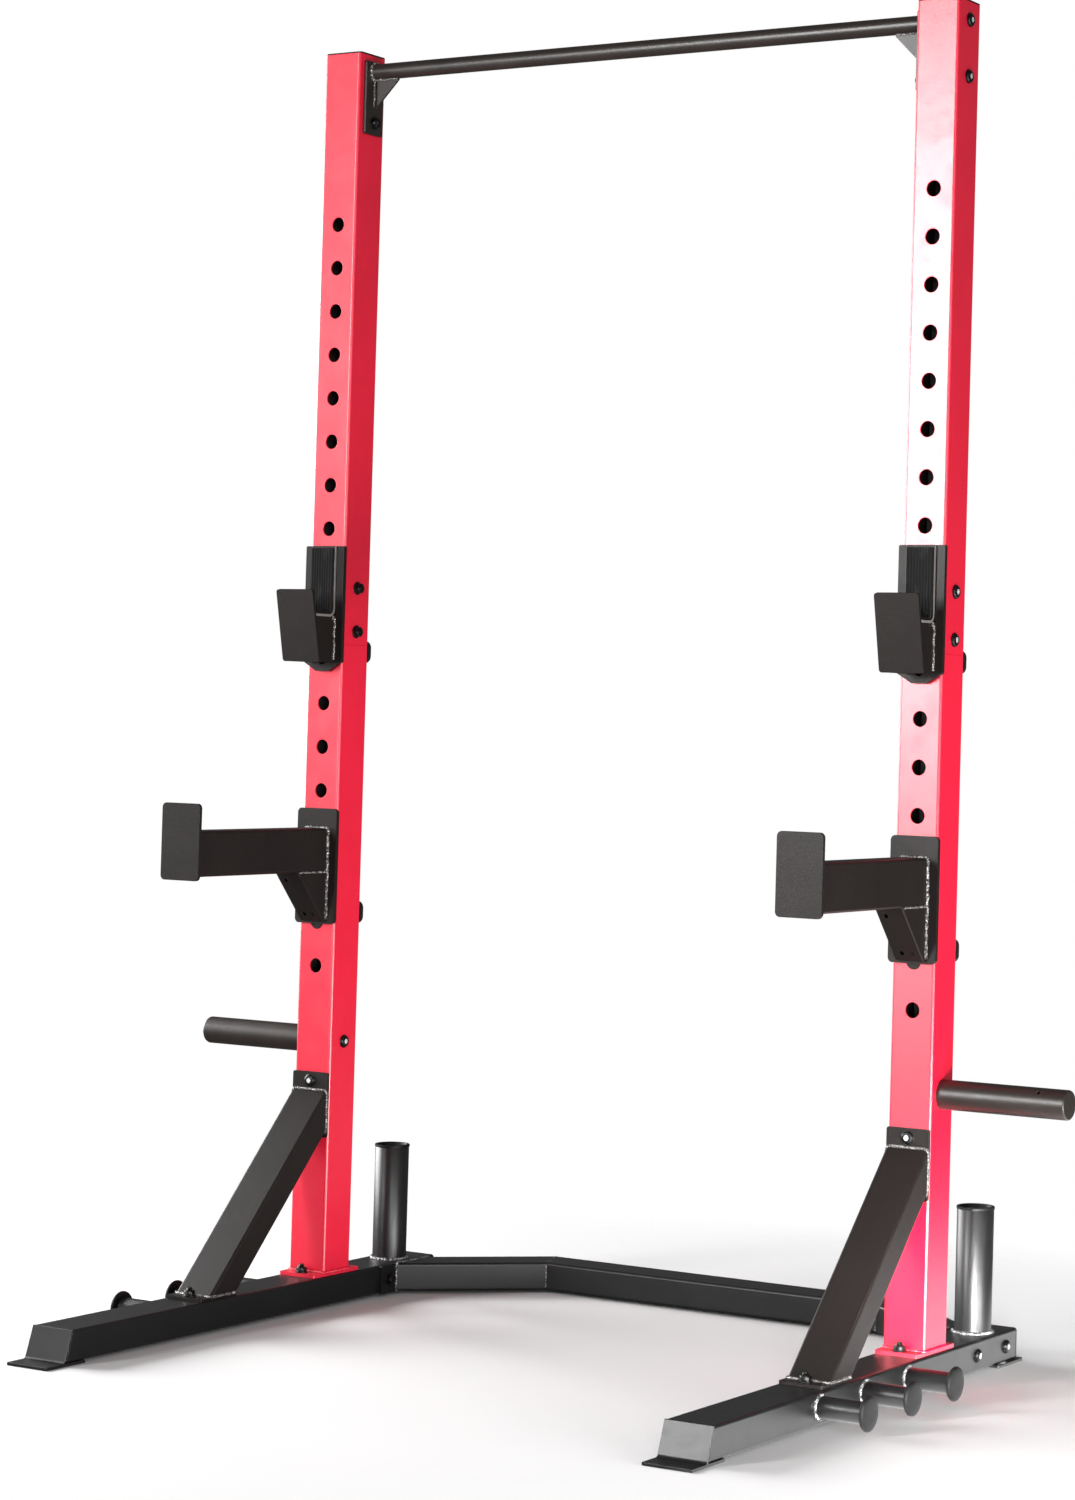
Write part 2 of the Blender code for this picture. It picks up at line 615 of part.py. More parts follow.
# ---------------------------------------------------------------- J-hooks and spotter arms
def pin_and_stub():
    """The pin through both walls of the upright, before it is bored, and the stub two holes above it."""
    front = -GAP - MESH_OVERLAP
    pin = prism(circle(PIN_RADIUS, HOLE_STEPS), "Y", front, PIN_END_Y)
    stub = prism(shifted(circle(STUB_RADIUS, HOLE_STEPS), 0.0, STUB_Z), "Y", front, STUB_LENGTH)
    return [pin, stub]


def pin_bore(front):
    return prism(circle(PIN_BORE_RADIUS, HOLE_STEPS), "Y", front, PIN_END_Y + 0.001)


def ribbon(centre_line, thickness):
    """The outline of a strip of even thickness along a line of points."""
    left = []
    right = []
    for k, (a, b) in enumerate(centre_line):
        before = centre_line[max(k - 1, 0)]
        after = centre_line[min(k + 1, len(centre_line) - 1)]
        run = Vector((after[0] - before[0], after[1] - before[1])).normalized()
        left.append((a - run.y * thickness / 2, b + run.x * thickness / 2))
        right.append((a + run.y * thickness / 2, b - run.x * thickness / 2))
    return left + right[::-1]


def j_line(inset, lip_top_z):
    """Line of the J strip, inset from the strip's upper face: down the back, round the seat, up the lip."""
    back_y = -ARM_PLATE - GAP - HOOK_STRIP - inset
    seat_z = HOOK_SEAT_Z + inset
    radius = HOOK_BEND_RADIUS - inset
    lean = math.atan(HOOK_LIP_LEAN)

    def lip_back_y(z):
        lip_face = HOOK_LIP_BOTTOM_Y - (z - HOOK_LIP_Z[0]) * HOOK_LIP_LEAN
        return lip_face + (2 * HOOK_STRIP - MESH_OVERLAP + inset) / math.cos(lean)

    points = [(back_y, HOOK_TOP_Z)]
    centre = (back_y - radius, seat_z + radius)
    for step in range(5):
        angle = -math.pi / 2 * step / 4
        points.append((centre[0] + radius * math.cos(angle), centre[1] + radius * math.sin(angle)))
    front_z = seat_z + radius
    front_y = lip_back_y(front_z) + radius / math.cos(lean)
    sweep = math.pi / 2 - lean
    for step in range(5):
        angle = -math.pi / 2 - sweep * step / 4
        points.append((front_y + radius * math.cos(angle), front_z + radius * math.sin(angle)))
    points.append((lip_back_y(lip_top_z), lip_top_z))
    return points


def j_hooks(paint, rubber, steel):
    """Plate, pin and stub, J-bent strip, leaning lip and the box that carries the seat."""
    plate_front = -ARM_PLATE - GAP
    half = HOOK_PLATE_HALF_WIDTH
    plate = (
        (-half, HOOK_TOP_Z),
        (half, HOOK_TOP_Z),
        (half, -0.004),
        (0.013, -0.0205),
        (-0.013, -0.0205),
        (-half, -0.004),
    )
    strip_half = HOOK_STRIP_HALF_WIDTH
    strip = ribbon(j_line(-HOOK_STRIP / 2, HOOK_LIP_Z[1] - 0.008), HOOK_STRIP)
    lip_rise = HOOK_LIP_Z[1] - HOOK_LIP_Z[0]
    lip_top_y = HOOK_LIP_BOTTOM_Y - lip_rise * HOOK_LIP_LEAN
    lip = (
        (HOOK_LIP_BOTTOM_Y, HOOK_LIP_Z[0]),
        (HOOK_LIP_BOTTOM_Y + HOOK_STRIP, HOOK_LIP_Z[0]),
        (lip_top_y + HOOK_STRIP, HOOK_LIP_Z[1]),
        (lip_top_y, HOOK_LIP_Z[1]),
    )
    depth = plate_front + MESH_OVERLAP - (HOOK_LIP_BOTTOM_Y + 0.003)
    centre_y = plate_front + MESH_OVERLAP - depth / 2
    seat_under = HOOK_SEAT_Z - HOOK_STRIP
    outer, inner = (
        [[(a, centre_y + b, z) for a, b in rounded_rectangle(w, d, r)] for z in (HOOK_LIP_Z[0], seat_under + 0.001)]
        for w, d, r in (
            (2 * strip_half, depth, TUBE_RADIUS),
            (2 * (strip_half - WALL), depth - 2 * WALL, TUBE_RADIUS - WALL / 2),
        )
    )
    parts = [
        prism(plate, "Y", plate_front, -GAP),
        prism(strip, "X", -strip_half, strip_half),
        prism(lip, "X", -HOOK_LIP_HALF_WIDTH, HOOK_LIP_HALF_WIDTH),
        hollow_loft(outer, inner),
    ] + pin_and_stub()
    hook = weld("hook", parts, paint, [pin_bore(plate_front - 0.005)])
    location = (UPRIGHT_X, UPRIGHT_FRONT_Y, hole_z(HOOK_HOLE))
    place_pair("j_hook", hook, paint, location)

    pad = ribbon(j_line(GAP + HOOK_LINER / 2, HOOK_LIP_Z[1] - 0.012), HOOK_LINER)
    liner = add_object("liner", prism(pad, "X", -strip_half, strip_half), rubber)
    place_pair("j_hook_liner", liner, rubber, location)
    keeper(steel, "j_hook_keeper", location)


def keeper(steel, name, location):
    """Plate behind the upright with a lug around the pin. It slips off the pin's rear end."""
    front = UPRIGHT_SIZE + GAP
    back = front + KEEPER_THICKNESS
    height = KEEPER_Z[1] - KEEPER_Z[0]
    outline = shifted(rounded_rectangle(KEEPER_WIDTH, height, KEEPER_CORNER), 0.0, sum(KEEPER_Z) / 2)
    parts = [
        prism(outline, "Y", front, back),
        prism(circle(KEEPER_LUG_RADIUS, ROUND_STEPS), "Y", front, back),
    ]
    hole = prism(circle(HOLE_RADIUS, HOLE_STEPS), "Y", front - 0.002, back + 0.002)
    plate = weld("keeper", parts, steel, [hole])
    place_pair(name, plate, steel, location)


def spotter_arms(paint, steel):
    """Plate, pin and stub, straight arm, upright end plate and a folded gusset with drain holes."""
    plate_front = -ARM_PLATE - GAP
    arm_back = plate_front + MESH_OVERLAP
    arm_half = SPOTTER_ARM_WIDTH / 2
    arm_height = SPOTTER_ARM_Z[1] - SPOTTER_ARM_Z[0]
    arm_centre_z = sum(SPOTTER_ARM_Z) / 2
    end_plate_back = -SPOTTER_REACH + PLATE

    plate_height = SPOTTER_PLATE_Z[1] - SPOTTER_PLATE_Z[0]
    plate = rounded_rectangle(2 * SPOTTER_PLATE_HALF_WIDTH, plate_height, 0.008)
    end_height = SPOTTER_END_PLATE_Z[1] - SPOTTER_END_PLATE_Z[0]
    end_plate = rounded_rectangle(2 * SPOTTER_END_PLATE_HALF_WIDTH, end_height, 0.008)
    outer = rounded_rectangle(SPOTTER_ARM_WIDTH, arm_height, TUBE_RADIUS)
    inner = rounded_rectangle(SPOTTER_ARM_WIDTH - 2 * WALL, arm_height - 2 * WALL, TUBE_RADIUS - WALL / 2)
    path = ((0.0, arm_back, arm_centre_z), (0.0, end_plate_back - MESH_OVERLAP, arm_centre_z))
    under = SPOTTER_ARM_Z[0] + MESH_OVERLAP
    cheek = (
        (arm_back, under),
        (-SPOTTER_GUSSET_RUN, under),
        (plate_front - 0.006, SPOTTER_GUSSET_FOOT_Z),
        (arm_back, SPOTTER_GUSSET_FOOT_Z),
    )
    web = (
        (-SPOTTER_GUSSET_RUN + 0.003, under),
        (-SPOTTER_GUSSET_RUN - 0.002, under),
        (plate_front - 0.008, SPOTTER_GUSSET_FOOT_Z - 0.002),
        (arm_back, SPOTTER_GUSSET_FOOT_Z - 0.002),
        (arm_back, SPOTTER_GUSSET_FOOT_Z + 0.002),
        (plate_front - 0.003, SPOTTER_GUSSET_FOOT_Z + 0.002),
    )
    parts = [
        prism(shifted(plate, 0.0, sum(SPOTTER_PLATE_Z) / 2), "Y", plate_front, -GAP),
        swept_tube(outer, inner, path, (0, 0, 1), ((0, 1, 0), (0, 1, 0))),
        prism(shifted(end_plate, 0.0, sum(SPOTTER_END_PLATE_Z) / 2), "Y", -SPOTTER_REACH, end_plate_back),
        prism(web, "X", -arm_half + 0.001, arm_half - 0.001),
        prism(cheek, "X", arm_half - 0.006, arm_half - 0.003),
        prism(cheek, "X", 0.003 - arm_half, 0.006 - arm_half),
    ] + pin_and_stub()

    drain_z = SPOTTER_GUSSET_FOOT_Z + 0.010
    cuts = [
        prism(shifted(circle(0.0035, 8), x, z), "Y", -SPOTTER_GUSSET_RUN - 0.01, plate_front - 0.0005)
        for x, z in ((-0.008, drain_z), (0.010, drain_z), (-0.010, SPOTTER_ARM_Z[0] - 0.012))
    ]
    cuts.append(prism(shifted(circle(0.005, 8), 0.0, -0.040), "Z", SPOTTER_ARM_Z[0] - 0.01, arm_centre_z))
    arm = weld("arm", parts, paint, [merged(cuts), pin_bore(-GAP)])
    location = (UPRIGHT_X, UPRIGHT_FRONT_Y, hole_z(SPOTTER_HOLE))
    place_pair("spotter_arm", arm, paint, location)
    keeper(steel, "spotter_keeper", location)


# ---------------------------------------------------------------- bolts
def bolt(length, nut_at):
    """Hexagon bolt along +X with its head before x = 0 and a nut from nut_at, or no nut at all."""
    stations = [
        (-BOLT_HEAD_HEIGHT, BOLT_HEAD_RADIUS, hexagon),
        (-GAP, BOLT_HEAD_RADIUS, hexagon),
        (-GAP, BOLT_RADIUS, None),
    ]
    if nut_at is not None:
        stations += [
            (nut_at + GAP, BOLT_RADIUS, None),
            (nut_at + GAP, BOLT_HEAD_RADIUS, hexagon),
            (nut_at + 0.008, BOLT_HEAD_RADIUS, hexagon),
            (nut_at + 0.008, BOLT_RADIUS, None),
        ]
    stations.append((length, BOLT_RADIUS, None))
    rings = []
    for x, radius, shape in stations:
        outline = shape(radius) if shape else circle(radius, BOLT_STEPS, 0.0)
        rings.append([(x, a, b) for a, b in outline])
    return loft(rings)


def bolts(zinc):
    """Through bolts. The right one of each pair points to -X, the left one to +X."""
    across = UPRIGHT_SIZE
    splice = bolt(across + 0.013, across)
    bar = bolt(across + PLATE + 0.014, across + PLATE + GAP)
    base = bolt(RAIL_WIDTH + PLATE + 0.014, RAIL_WIDTH + PLATE + GAP)
    outer_x = UPRIGHT_X + across / 2
    rail_x = UPRIGHT_X + RAIL_WIDTH / 2
    plans = [("splice_bolt_" + n, splice, (outer_x, UPRIGHT_CENTRE_Y, z)) for n, z in SPLICE_BOLT_Z]
    plans += [("bar_bolt_" + n, bar, (outer_x, UPRIGHT_CENTRE_Y, z)) for n, z in BAR_BOLT_Z]
    plans += [("crossbar_bolt_" + n, base, (rail_x, y, BASE_BOLT_Z)) for n, y in CROSSBAR_BOLT_Y]
    for name, mesh, (x, y, z) in plans:
        mesh = mesh.copy()
        left = add_object(name + "_left", mesh, zinc, (-x, y, z))
        shade(left)
        add_object(name + "_right", mesh, zinc, (x, y, z), math.pi)

    # the plate pegs' bolts have their heads on the uprights' inner faces
    screw = bolt(across + PLATE_PEG_ROOT + 0.006, None)
    inner_x = UPRIGHT_X - across / 2
    right = add_object("plate_peg_bolt_right", screw, zinc, (inner_x, UPRIGHT_CENTRE_Y, PLATE_PEG_Z))
    shade(right)
    add_object("plate_peg_bolt_left", screw, zinc, (-inner_x, UPRIGHT_CENTRE_Y, PLATE_PEG_Z), math.pi)


# ---------------------------------------------------------------- assembly
def main():
    for item in list(bpy.data.objects):
        bpy.data.objects.remove(item)

    red = material("red_paint", (0.75, 0.012, 0.045), 0.35)
    black = material("black_paint", (0.018, 0.018, 0.019), 0.38)
    brown_black = material("brown_black_paint", (0.030, 0.025, 0.022), 0.5)
    zinc = material("zinc", (0.55, 0.55, 0.56), 0.3, 1.0)
    rubber = material("rubber", (0.012, 0.012, 0.012), 0.8)
    plastic = material("black_plastic", (0.010, 0.010, 0.010), 0.6)

    base_rails(black)
    front_feet(black)
    rear_feet(black)
    rail_end_caps(plastic)
    rear_crossbar(black)
    band_pegs(black, plastic)
    bar_storage_tubes(black)
    uprights(red)
    splice_sleeves(black)
    upright_caps(plastic)
    pull_up_bar(brown_black)
    plate_pegs(brown_black)
    diagonal_braces(brown_black)
    j_hooks(brown_black, rubber, brown_black)
    spotter_arms(brown_black, brown_black)
    bolts(zinc)


main()
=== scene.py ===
"""Half power rack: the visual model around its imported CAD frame. Metres, +Z up, open front towards -Y."""

import math

import bmesh
import bpy
from mathutils import Matrix, Vector, noise


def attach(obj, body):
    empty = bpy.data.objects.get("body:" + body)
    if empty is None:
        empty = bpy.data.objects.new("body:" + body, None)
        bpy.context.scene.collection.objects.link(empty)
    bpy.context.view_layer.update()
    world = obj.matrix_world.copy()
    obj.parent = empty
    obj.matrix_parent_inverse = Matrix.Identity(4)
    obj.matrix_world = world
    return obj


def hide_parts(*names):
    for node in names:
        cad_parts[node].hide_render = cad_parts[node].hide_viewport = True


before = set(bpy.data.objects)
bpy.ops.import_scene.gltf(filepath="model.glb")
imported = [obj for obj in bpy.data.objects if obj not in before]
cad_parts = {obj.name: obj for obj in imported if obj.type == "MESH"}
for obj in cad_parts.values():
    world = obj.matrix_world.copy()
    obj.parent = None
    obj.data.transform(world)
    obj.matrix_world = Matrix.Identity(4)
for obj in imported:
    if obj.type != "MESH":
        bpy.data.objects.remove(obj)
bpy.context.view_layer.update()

# ---------------------------------------------------------------- dimensions shared with the CAD
GAP = 0.0003
WALL = 0.003
PLATE = 0.006
SIDES = (("right", 1), ("left", -1))

UPRIGHT_X = 0.585
UPRIGHT_SIZE = 0.075
UPRIGHT_FRONT_Y = 0.127
UPRIGHT_CENTRE_Y = UPRIGHT_FRONT_Y + UPRIGHT_SIZE / 2
ON_UPRIGHT = (UPRIGHT_X, UPRIGHT_CENTRE_Y, 0.0)
UPRIGHT_TOP_Z = 2.1885
UPRIGHT_JOINT_Z = 1.152
TUBE_RADIUS = 0.005
HOLE_PITCH = 0.0762
HOLE_COUNT = 18
HOLE_RADIUS = 0.0127
TOP_HOLE_Z = 1.8875
JOINT_HOLE = 10
HOOK_HOLE = 10
SPOTTER_HOLE = 16

FOOT_THICKNESS = 0.005
RAIL_WIDTH = 0.082
RAIL_HEIGHT = 0.050
RAIL_BOTTOM_Z = FOOT_THICKNESS + GAP
RAIL_TOP_Z = RAIL_BOTTOM_Z + RAIL_HEIGHT
RAIL_CENTRE_Z = RAIL_BOTTOM_Z + RAIL_HEIGHT / 2
ON_RAIL = (UPRIGHT_X, 0.0, 0.0)
RAIL_FRONT_Y = -0.519
RAIL_SLANT = 0.016
RAIL_REAR_Y = 0.451
FRONT_FOOT_Y = -0.580
FRONT_FOOT_BACK_Y = -0.490
REAR_FOOT_Y = (0.377, 0.467)
REAR_FOOT_WIDTH = 0.092
END_CAP = 0.003
BASE_PLATE_OVERHANG = 0.027

CROSSBAR_DEPTH = 0.075
CROSSBAR_FRONT_Y = 0.505
CROSSBAR_BEND_X = 0.335
CROSSBAR_START_Y = 0.327
CROSSBAR_FLANGE_Y = (0.284, 0.437)
CROSSBAR_BOLT_Y = (("front", 0.307), ("rear", 0.411))

BAND_PEG_Y = (("front", -0.215), ("middle", -0.075), ("rear", 0.066))
BAND_PEG_Z = 0.0325
BAND_PEG_RADIUS = 0.0165
BAND_PEG_LENGTH = 0.077
BAND_CAP_RADIUS = 0.0265
BAND_CAP_THICKNESS = 0.0075

STORAGE_TUBE_Y = 0.370
STORAGE_TUBE_RADIUS = 0.0302
STORAGE_TUBE_TOP_Z = 0.2585

BAR_Z = 2.159
BAR_RADIUS = 0.014
BAR_FLANGE_WIDTH = 0.050
BAR_FLANGE_Z = (2.048, 2.1765)
BAR_GUSSET = 0.050
BAR_BOLT_Z = (("upper", BAR_Z), ("lower", 2.069))

PLATE_PEG_Z = 0.4605
PLATE_PEG_RADIUS = 0.0235
PLATE_PEG_LENGTH = 0.220
PLATE_PEG_ROOT = 0.008

BRACE_ANGLE = math.radians(46.5)
BRACE_DEPTH = 0.050
BRACE_TOP_Z = 0.378
BRACE_FLANGE = 0.005
BRACE_FLANGE_Z = (0.296, 0.408)
BRACE_FOOT_FRONT_Y = UPRIGHT_FRONT_Y - 0.332
BRACE_BOLT_Z = 0.393
BRACE_FOOT_BOLT_Y = UPRIGHT_FRONT_Y - 0.316

SPLICE_Z = (1.066, 1.262)
SPLICE_BOLT_Z = (("upper", 1.2515), ("lower", 1.1753))

# J-hooks and spotter arms are measured from the upright's front face and from their pin's centre
ARM_PLATE = 0.008
PIN_RADIUS = 0.0122
PIN_BORE_RADIUS = 0.009
PIN_END_Y = 0.0893
STUB_LENGTH = 0.014
STUB_Z = 2 * HOLE_PITCH
KEEPER_WIDTH = 0.075
KEEPER_Z = (-0.004, 0.035)
KEEPER_THICKNESS = 0.008
KEEPER_LUG_RADIUS = 0.018
KEEPER_CORNER = 0.012

HOOK_PLATE_HALF_WIDTH = 0.041
HOOK_TOP_Z = 0.1975
HOOK_STRIP_HALF_WIDTH = 0.025
HOOK_STRIP = 0.005
HOOK_SEAT_Z = 0.0785
HOOK_BEND_RADIUS = 0.010
HOOK_LIP_Z = (-0.0055, 0.118)
HOOK_LIP_BOTTOM_Y = -0.068
HOOK_LIP_LEAN = 0.2024
HOOK_LIP_HALF_WIDTH = 0.039
LINER_BASE = 0.0030
LINER_RIB = 0.0010
LINER_RIBS = 9
LINER_HALF_WIDTH = 0.0235

SPOTTER_PLATE_HALF_WIDTH = 0.042
SPOTTER_PLATE_Z = (-0.0025, 0.1975)
SPOTTER_ARM_WIDTH = 0.050
SPOTTER_ARM_Z = (0.0877, 0.1637)
SPOTTER_END_PLATE_HALF_WIDTH = 0.0395
SPOTTER_END_PLATE_Z = (0.082, 0.2095)
SPOTTER_REACH = 0.376
SPOTTER_GUSSET_RUN = 0.092
SPOTTER_GUSSET_FOOT_Z = 0.002

# ---------------------------------------------------------------- detail of the visual model
OVERLAP = 0.001                  # how deep welded parts run into each other
EDGE = 0.0005                    # rounding of sheared and sawn edges
CORNER_STEPS = 7
ROUND_STEPS = 64
HOLE_STEPS = 40
WELD_STEP = 0.0011               # spacing of a weld bead's rings
WELD_RIPPLE = 0.0036             # spacing of its ripples
BOLT_RADIUS = 0.005
BUTTON_RADIUS = 0.0104
BUTTON_HEIGHT = 0.0058
SOCKET_RADIUS = 0.0050
WASHER_RADIUS = 0.0114
WASHER = 0.0014
NUT_RADIUS = 0.0094
NUT_HEIGHT = 0.0080
BOLT_CLEARANCE = 0.0006
BOLT_SPARE = 0.0125              # how far a bolt reaches past what it clamps
CAP_EDGE = 0.0014                # heights of an upright cap: its edge, its arch and its crown
CAP_ARCH = 0.0033
CAP_CROWN = 0.0010
SLEEVE_DEPTH = 0.150
SLEEVE_WALL = 0.0014
DRAIN_RADIUS = 0.0035
VENT_RADIUS = 0.0030
VENT_FROM_END = 0.0465
VENT_TURN = 42.0                 # degrees from the peg's top
GLOSSY_ROOM = 0.12               # brightness of the white room as gloss sees it
DIFFUSE_ROOM = 0.18              # and as the room lights the rack
GLOSSY_FLOOR = 0.10              # brightness of the floor as gloss sees it
CARD_STRENGTH = 2.6              # and by the right rail, where a strip is brighter
CARD_INNER_X = (0.58, 0.66)      # where that bright strip begins
CARD_OUTER = (1.50, 2.00)        # where it ends, as x + y / 2
FLOOR_FADE = (0.85, 1.6)         # distances between which the floor fades into the backdrop
LIGHTS = (                       # name, location, target, size, power in watts, spread in degrees
    ("left_wall", (-4.0, -0.2, 1.55), (0.0, 0.0, 0.4), (3.4, 2.1), 350.0),
    ("front_left", (-2.0, -4.85, 2.15), (0.75, 0.1, 1.55), (0.8, 1.5), 31.0, 60.0),
    ("front_left_low", (-2.0, -4.85, 0.6), (0.75, 0.1, 0.6), (0.8, 1.2), 3.5, 60.0),
    ("beside_camera", (3.7, -4.5, 1.4), (0.5, 0.1, 1.0), (0.5, 2.6), 100.0),
    ("right", (4.2, -1.4, 1.0), (0.5, 0.1, 1.1), (1.6, 1.9), 30.0),
    ("low_right", (2.0, -0.6, 0.07), (0.6, 0.3, 0.1), (1.5, 0.12), 60.0),
    ("low_front", (1.45, -1.15, 0.16), (0.585, 0.37, 0.15), (0.4, 0.3), 2.2, 20.0),
)


# ---------------------------------------------------------------- materials
class Nodes:
    """Short calls for building one material's node tree."""

    def __init__(self, name):
        self.material = bpy.data.materials.new(name)
        self.material.use_nodes = True
        self.tree = self.material.node_tree
        self.shader = self.tree.nodes["Principled BSDF"]
        self.place = self.add("ShaderNodeTexCoord").outputs["Object"]

    def add(self, kind, **values):
        node = self.tree.nodes.new(kind)
        for key, value in values.items():
            setattr(node, key, value)
        return node

    def link(self, source, target):
        self.tree.links.new(source, target)

    def stretched(self, scale):
        mapping = self.add("ShaderNodeMapping")
        mapping.inputs["Scale"].default_value = scale
        self.link(self.place, mapping.inputs["Vector"])
        return mapping.outputs["Vector"]

    def noise(self, scale, detail=3.0, roughness=0.55, place=None):
        node = self.add("ShaderNodeTexNoise")
        node.inputs["Scale"].default_value = scale
        node.inputs["Detail"].default_value = detail
        node.inputs["Roughness"].default_value = roughness
        self.link(place or self.place, node.inputs["Vector"])
        return node.outputs["Fac"]

    def spread(self, source, low_in, high_in, low_out, high_out):
        node = self.add("ShaderNodeMapRange")
        for socket_glint, value in zip(node.inputs[1:5], (low_in, high_in, low_out, high_out)):
            socket_glint.default_value = value
        self.link(source, node.inputs[0])
        return node.outputs["Result"]

    def math(self, operation, first, second):
        node = self.add("ShaderNodeMath", operation=operation)
        for socket_glint, value in zip(node.inputs, (first, second)):
            if isinstance(value, (int, float)):
                socket_glint.default_value = value
            else:
                self.link(value, socket_glint)
        return node.outputs["Value"]

    def blend(self, factor, first, second):
        node = self.add("ShaderNodeMix", data_type="RGBA")
        self.link(factor, node.inputs["Factor"])
        for socket_glint, value in ((node.inputs["A"], first), (node.inputs["B"], second)):
            if isinstance(value, tuple):
                socket_glint.default_value = (*value, 1.0)
            else:
                self.link(value, socket_glint)
        return node.outputs["Result"]

    def inside(self, half):
        """1 inside a square tube that stands on the piece's origin, and 0 on its walls."""
        axes = self.add("ShaderNodeSeparateXYZ")
        self.link(self.place, axes.inputs["Vector"])
        sides = [self.math("ABSOLUTE", axes.outputs[axis], 0.0) for axis in ("X", "Y")]
        return self.math("LESS_THAN", self.math("MAXIMUM", *sides), half)

    def mixed(self, factor, first, second):
        node = self.add("ShaderNodeMixShader")
        for socket_glint, value in zip(node.inputs, (factor, first, second)):
            self.link(value, socket_glint)
        return node.outputs["Shader"]

    def bump(self, height, distance, below=None):
        node = self.add("ShaderNodeBump")
        node.inputs["Distance"].default_value = distance
        self.link(height, node.inputs["Height"])
        if below:
            self.link(below, node.inputs["Normal"])
        return node.outputs["Normal"]

    def set(self, **sockets):
        for name, value in sockets.items():
            socket_glint = self.shader.inputs[name.replace("_", " ")]
            if isinstance(value, (int, float)):
                socket_glint.default_value = value
            elif isinstance(value, tuple):
                socket_glint.default_value = (*value, 1.0)
            else:
                self.link(value, socket_glint)
        return self.material


def powder_coat(name, colour, shadow, rough, gloss, grain=0.00006, bare_and_shaded_inside=0.0):
    """Baked powder paint: fine orange peel, slow drift of tone, cured specks and a few rubbed places."""
    n = Nodes(name)
    drift = n.spread(n.noise(7.0, 4.0), 0.35, 0.65, 0.0, 1.0)
    specks = n.spread(n.noise(420.0, 2.0), 0.62, 0.74, 0.0, 0.35)
    tone = n.blend(drift, colour, shadow)
    lighter = tuple(min(1.0, c * 1.25 + 0.01) for c in colour)
    tone = n.blend(specks, tone, lighter)
    rubbed = n.spread(n.noise(24.0, 6.0, 0.7), 0.45, 0.70, rough - 0.02, rough + 0.03)
    peel = n.bump(n.noise(900.0, 2.0), grain)
    surface = n.bump(n.noise(160.0, 2.0), grain * 1.6, peel)
    # near-black inside the tube: bare steel, plus painted shade that keeps the holes dark
    if bare_and_shaded_inside:
        tone = n.blend(n.inside(bare_and_shaded_inside), tone, (0.004, 0.0035, 0.0035))
    return n.set(Base_Color=tone, Roughness=rubbed, Specular_IOR_Level=gloss, Normal=surface)


def weld_metal(name, colour, metallic):
    """Thinly painted weld bead: dark paint with random near-white spots, partly bare metal and partly painted
    glints.
    """
    n = Nodes(name)
    # random spots painted near-white and glossier: painted glints, together with bare metal
    glint_and_bare_spots = n.spread(n.noise(300.0, 2.0, 0.6), 0.50, 0.57, 0.0, 1.0)
    glint_and_bare_colour = tuple(min(0.9, c * 1.5 + 0.45) for c in colour)
    surface = n.bump(n.noise(400.0, 3.0), 0.0009)
    return n.set(Base_Color=n.blend(glint_and_bare_spots, colour, glint_and_bare_colour), Roughness=n.spread(glint_and_bare_spots, 0.0, 1.0, 0.42, 0.24),
                 Metallic=metallic, Normal=surface)


def fastener_metal(name, colour, worn_colour, rough, metallic):
    """Steel with polished high spots and faint turning marks."""
    n = Nodes(name)
    worn = n.spread(n.noise(300.0, 4.0, 0.65), 0.52, 0.68, 0.0, 1.0)
    marks = n.noise(160.0, 2.0, 0.5, n.stretched((18.0, 1.0, 1.0)))
    surface = n.bump(marks, 0.00005)
    roughness = n.spread(n.noise(90.0, 3.0), 0.3, 0.7, rough - 0.07, rough + 0.08)
    return n.set(Base_Color=n.blend(worn, colour, worn_colour), Roughness=roughness,
                 Metallic=metallic, Normal=surface)


def moulded_plastic(name, colour, rough):
    """Matte moulded plastic with a fine spark-eroded grain."""
    n = Nodes(name)
    drift = n.spread(n.noise(30.0, 3.0), 0.3, 0.7, 0.0, 1.0)
    dusty = tuple(c * 1.8 + 0.004 for c in colour)
    surface = n.bump(n.noise(1300.0, 2.0), 0.00008)
    roughness = n.spread(n.noise(60.0, 3.0), 0.3, 0.7, rough - 0.06, rough + 0.08)
    return n.set(Base_Color=n.blend(drift, colour, dusty), Roughness=roughness, Normal=surface,
                 Specular_IOR_Level=0.2)


def liner_rubber(name, colour):
    """Ribbed rubber: dull, with pale rub marks where a bar has been laid."""
    n = Nodes(name)
    rubs = n.spread(n.noise(70.0, 5.0, 0.7, n.stretched((1.0, 1.0, 0.25))), 0.55, 0.75, 0.0, 0.6)
    worn = tuple(c * 3.0 + 0.01 for c in colour)
    surface = n.bump(n.noise(1100.0, 3.0), 0.00010)
    roughness = n.spread(rubs, 0.0, 0.6, 0.82, 0.62)
    return n.set(Base_Color=n.blend(rubs, colour, worn), Roughness=roughness, Normal=surface,
                 Specular_IOR_Level=0.15)


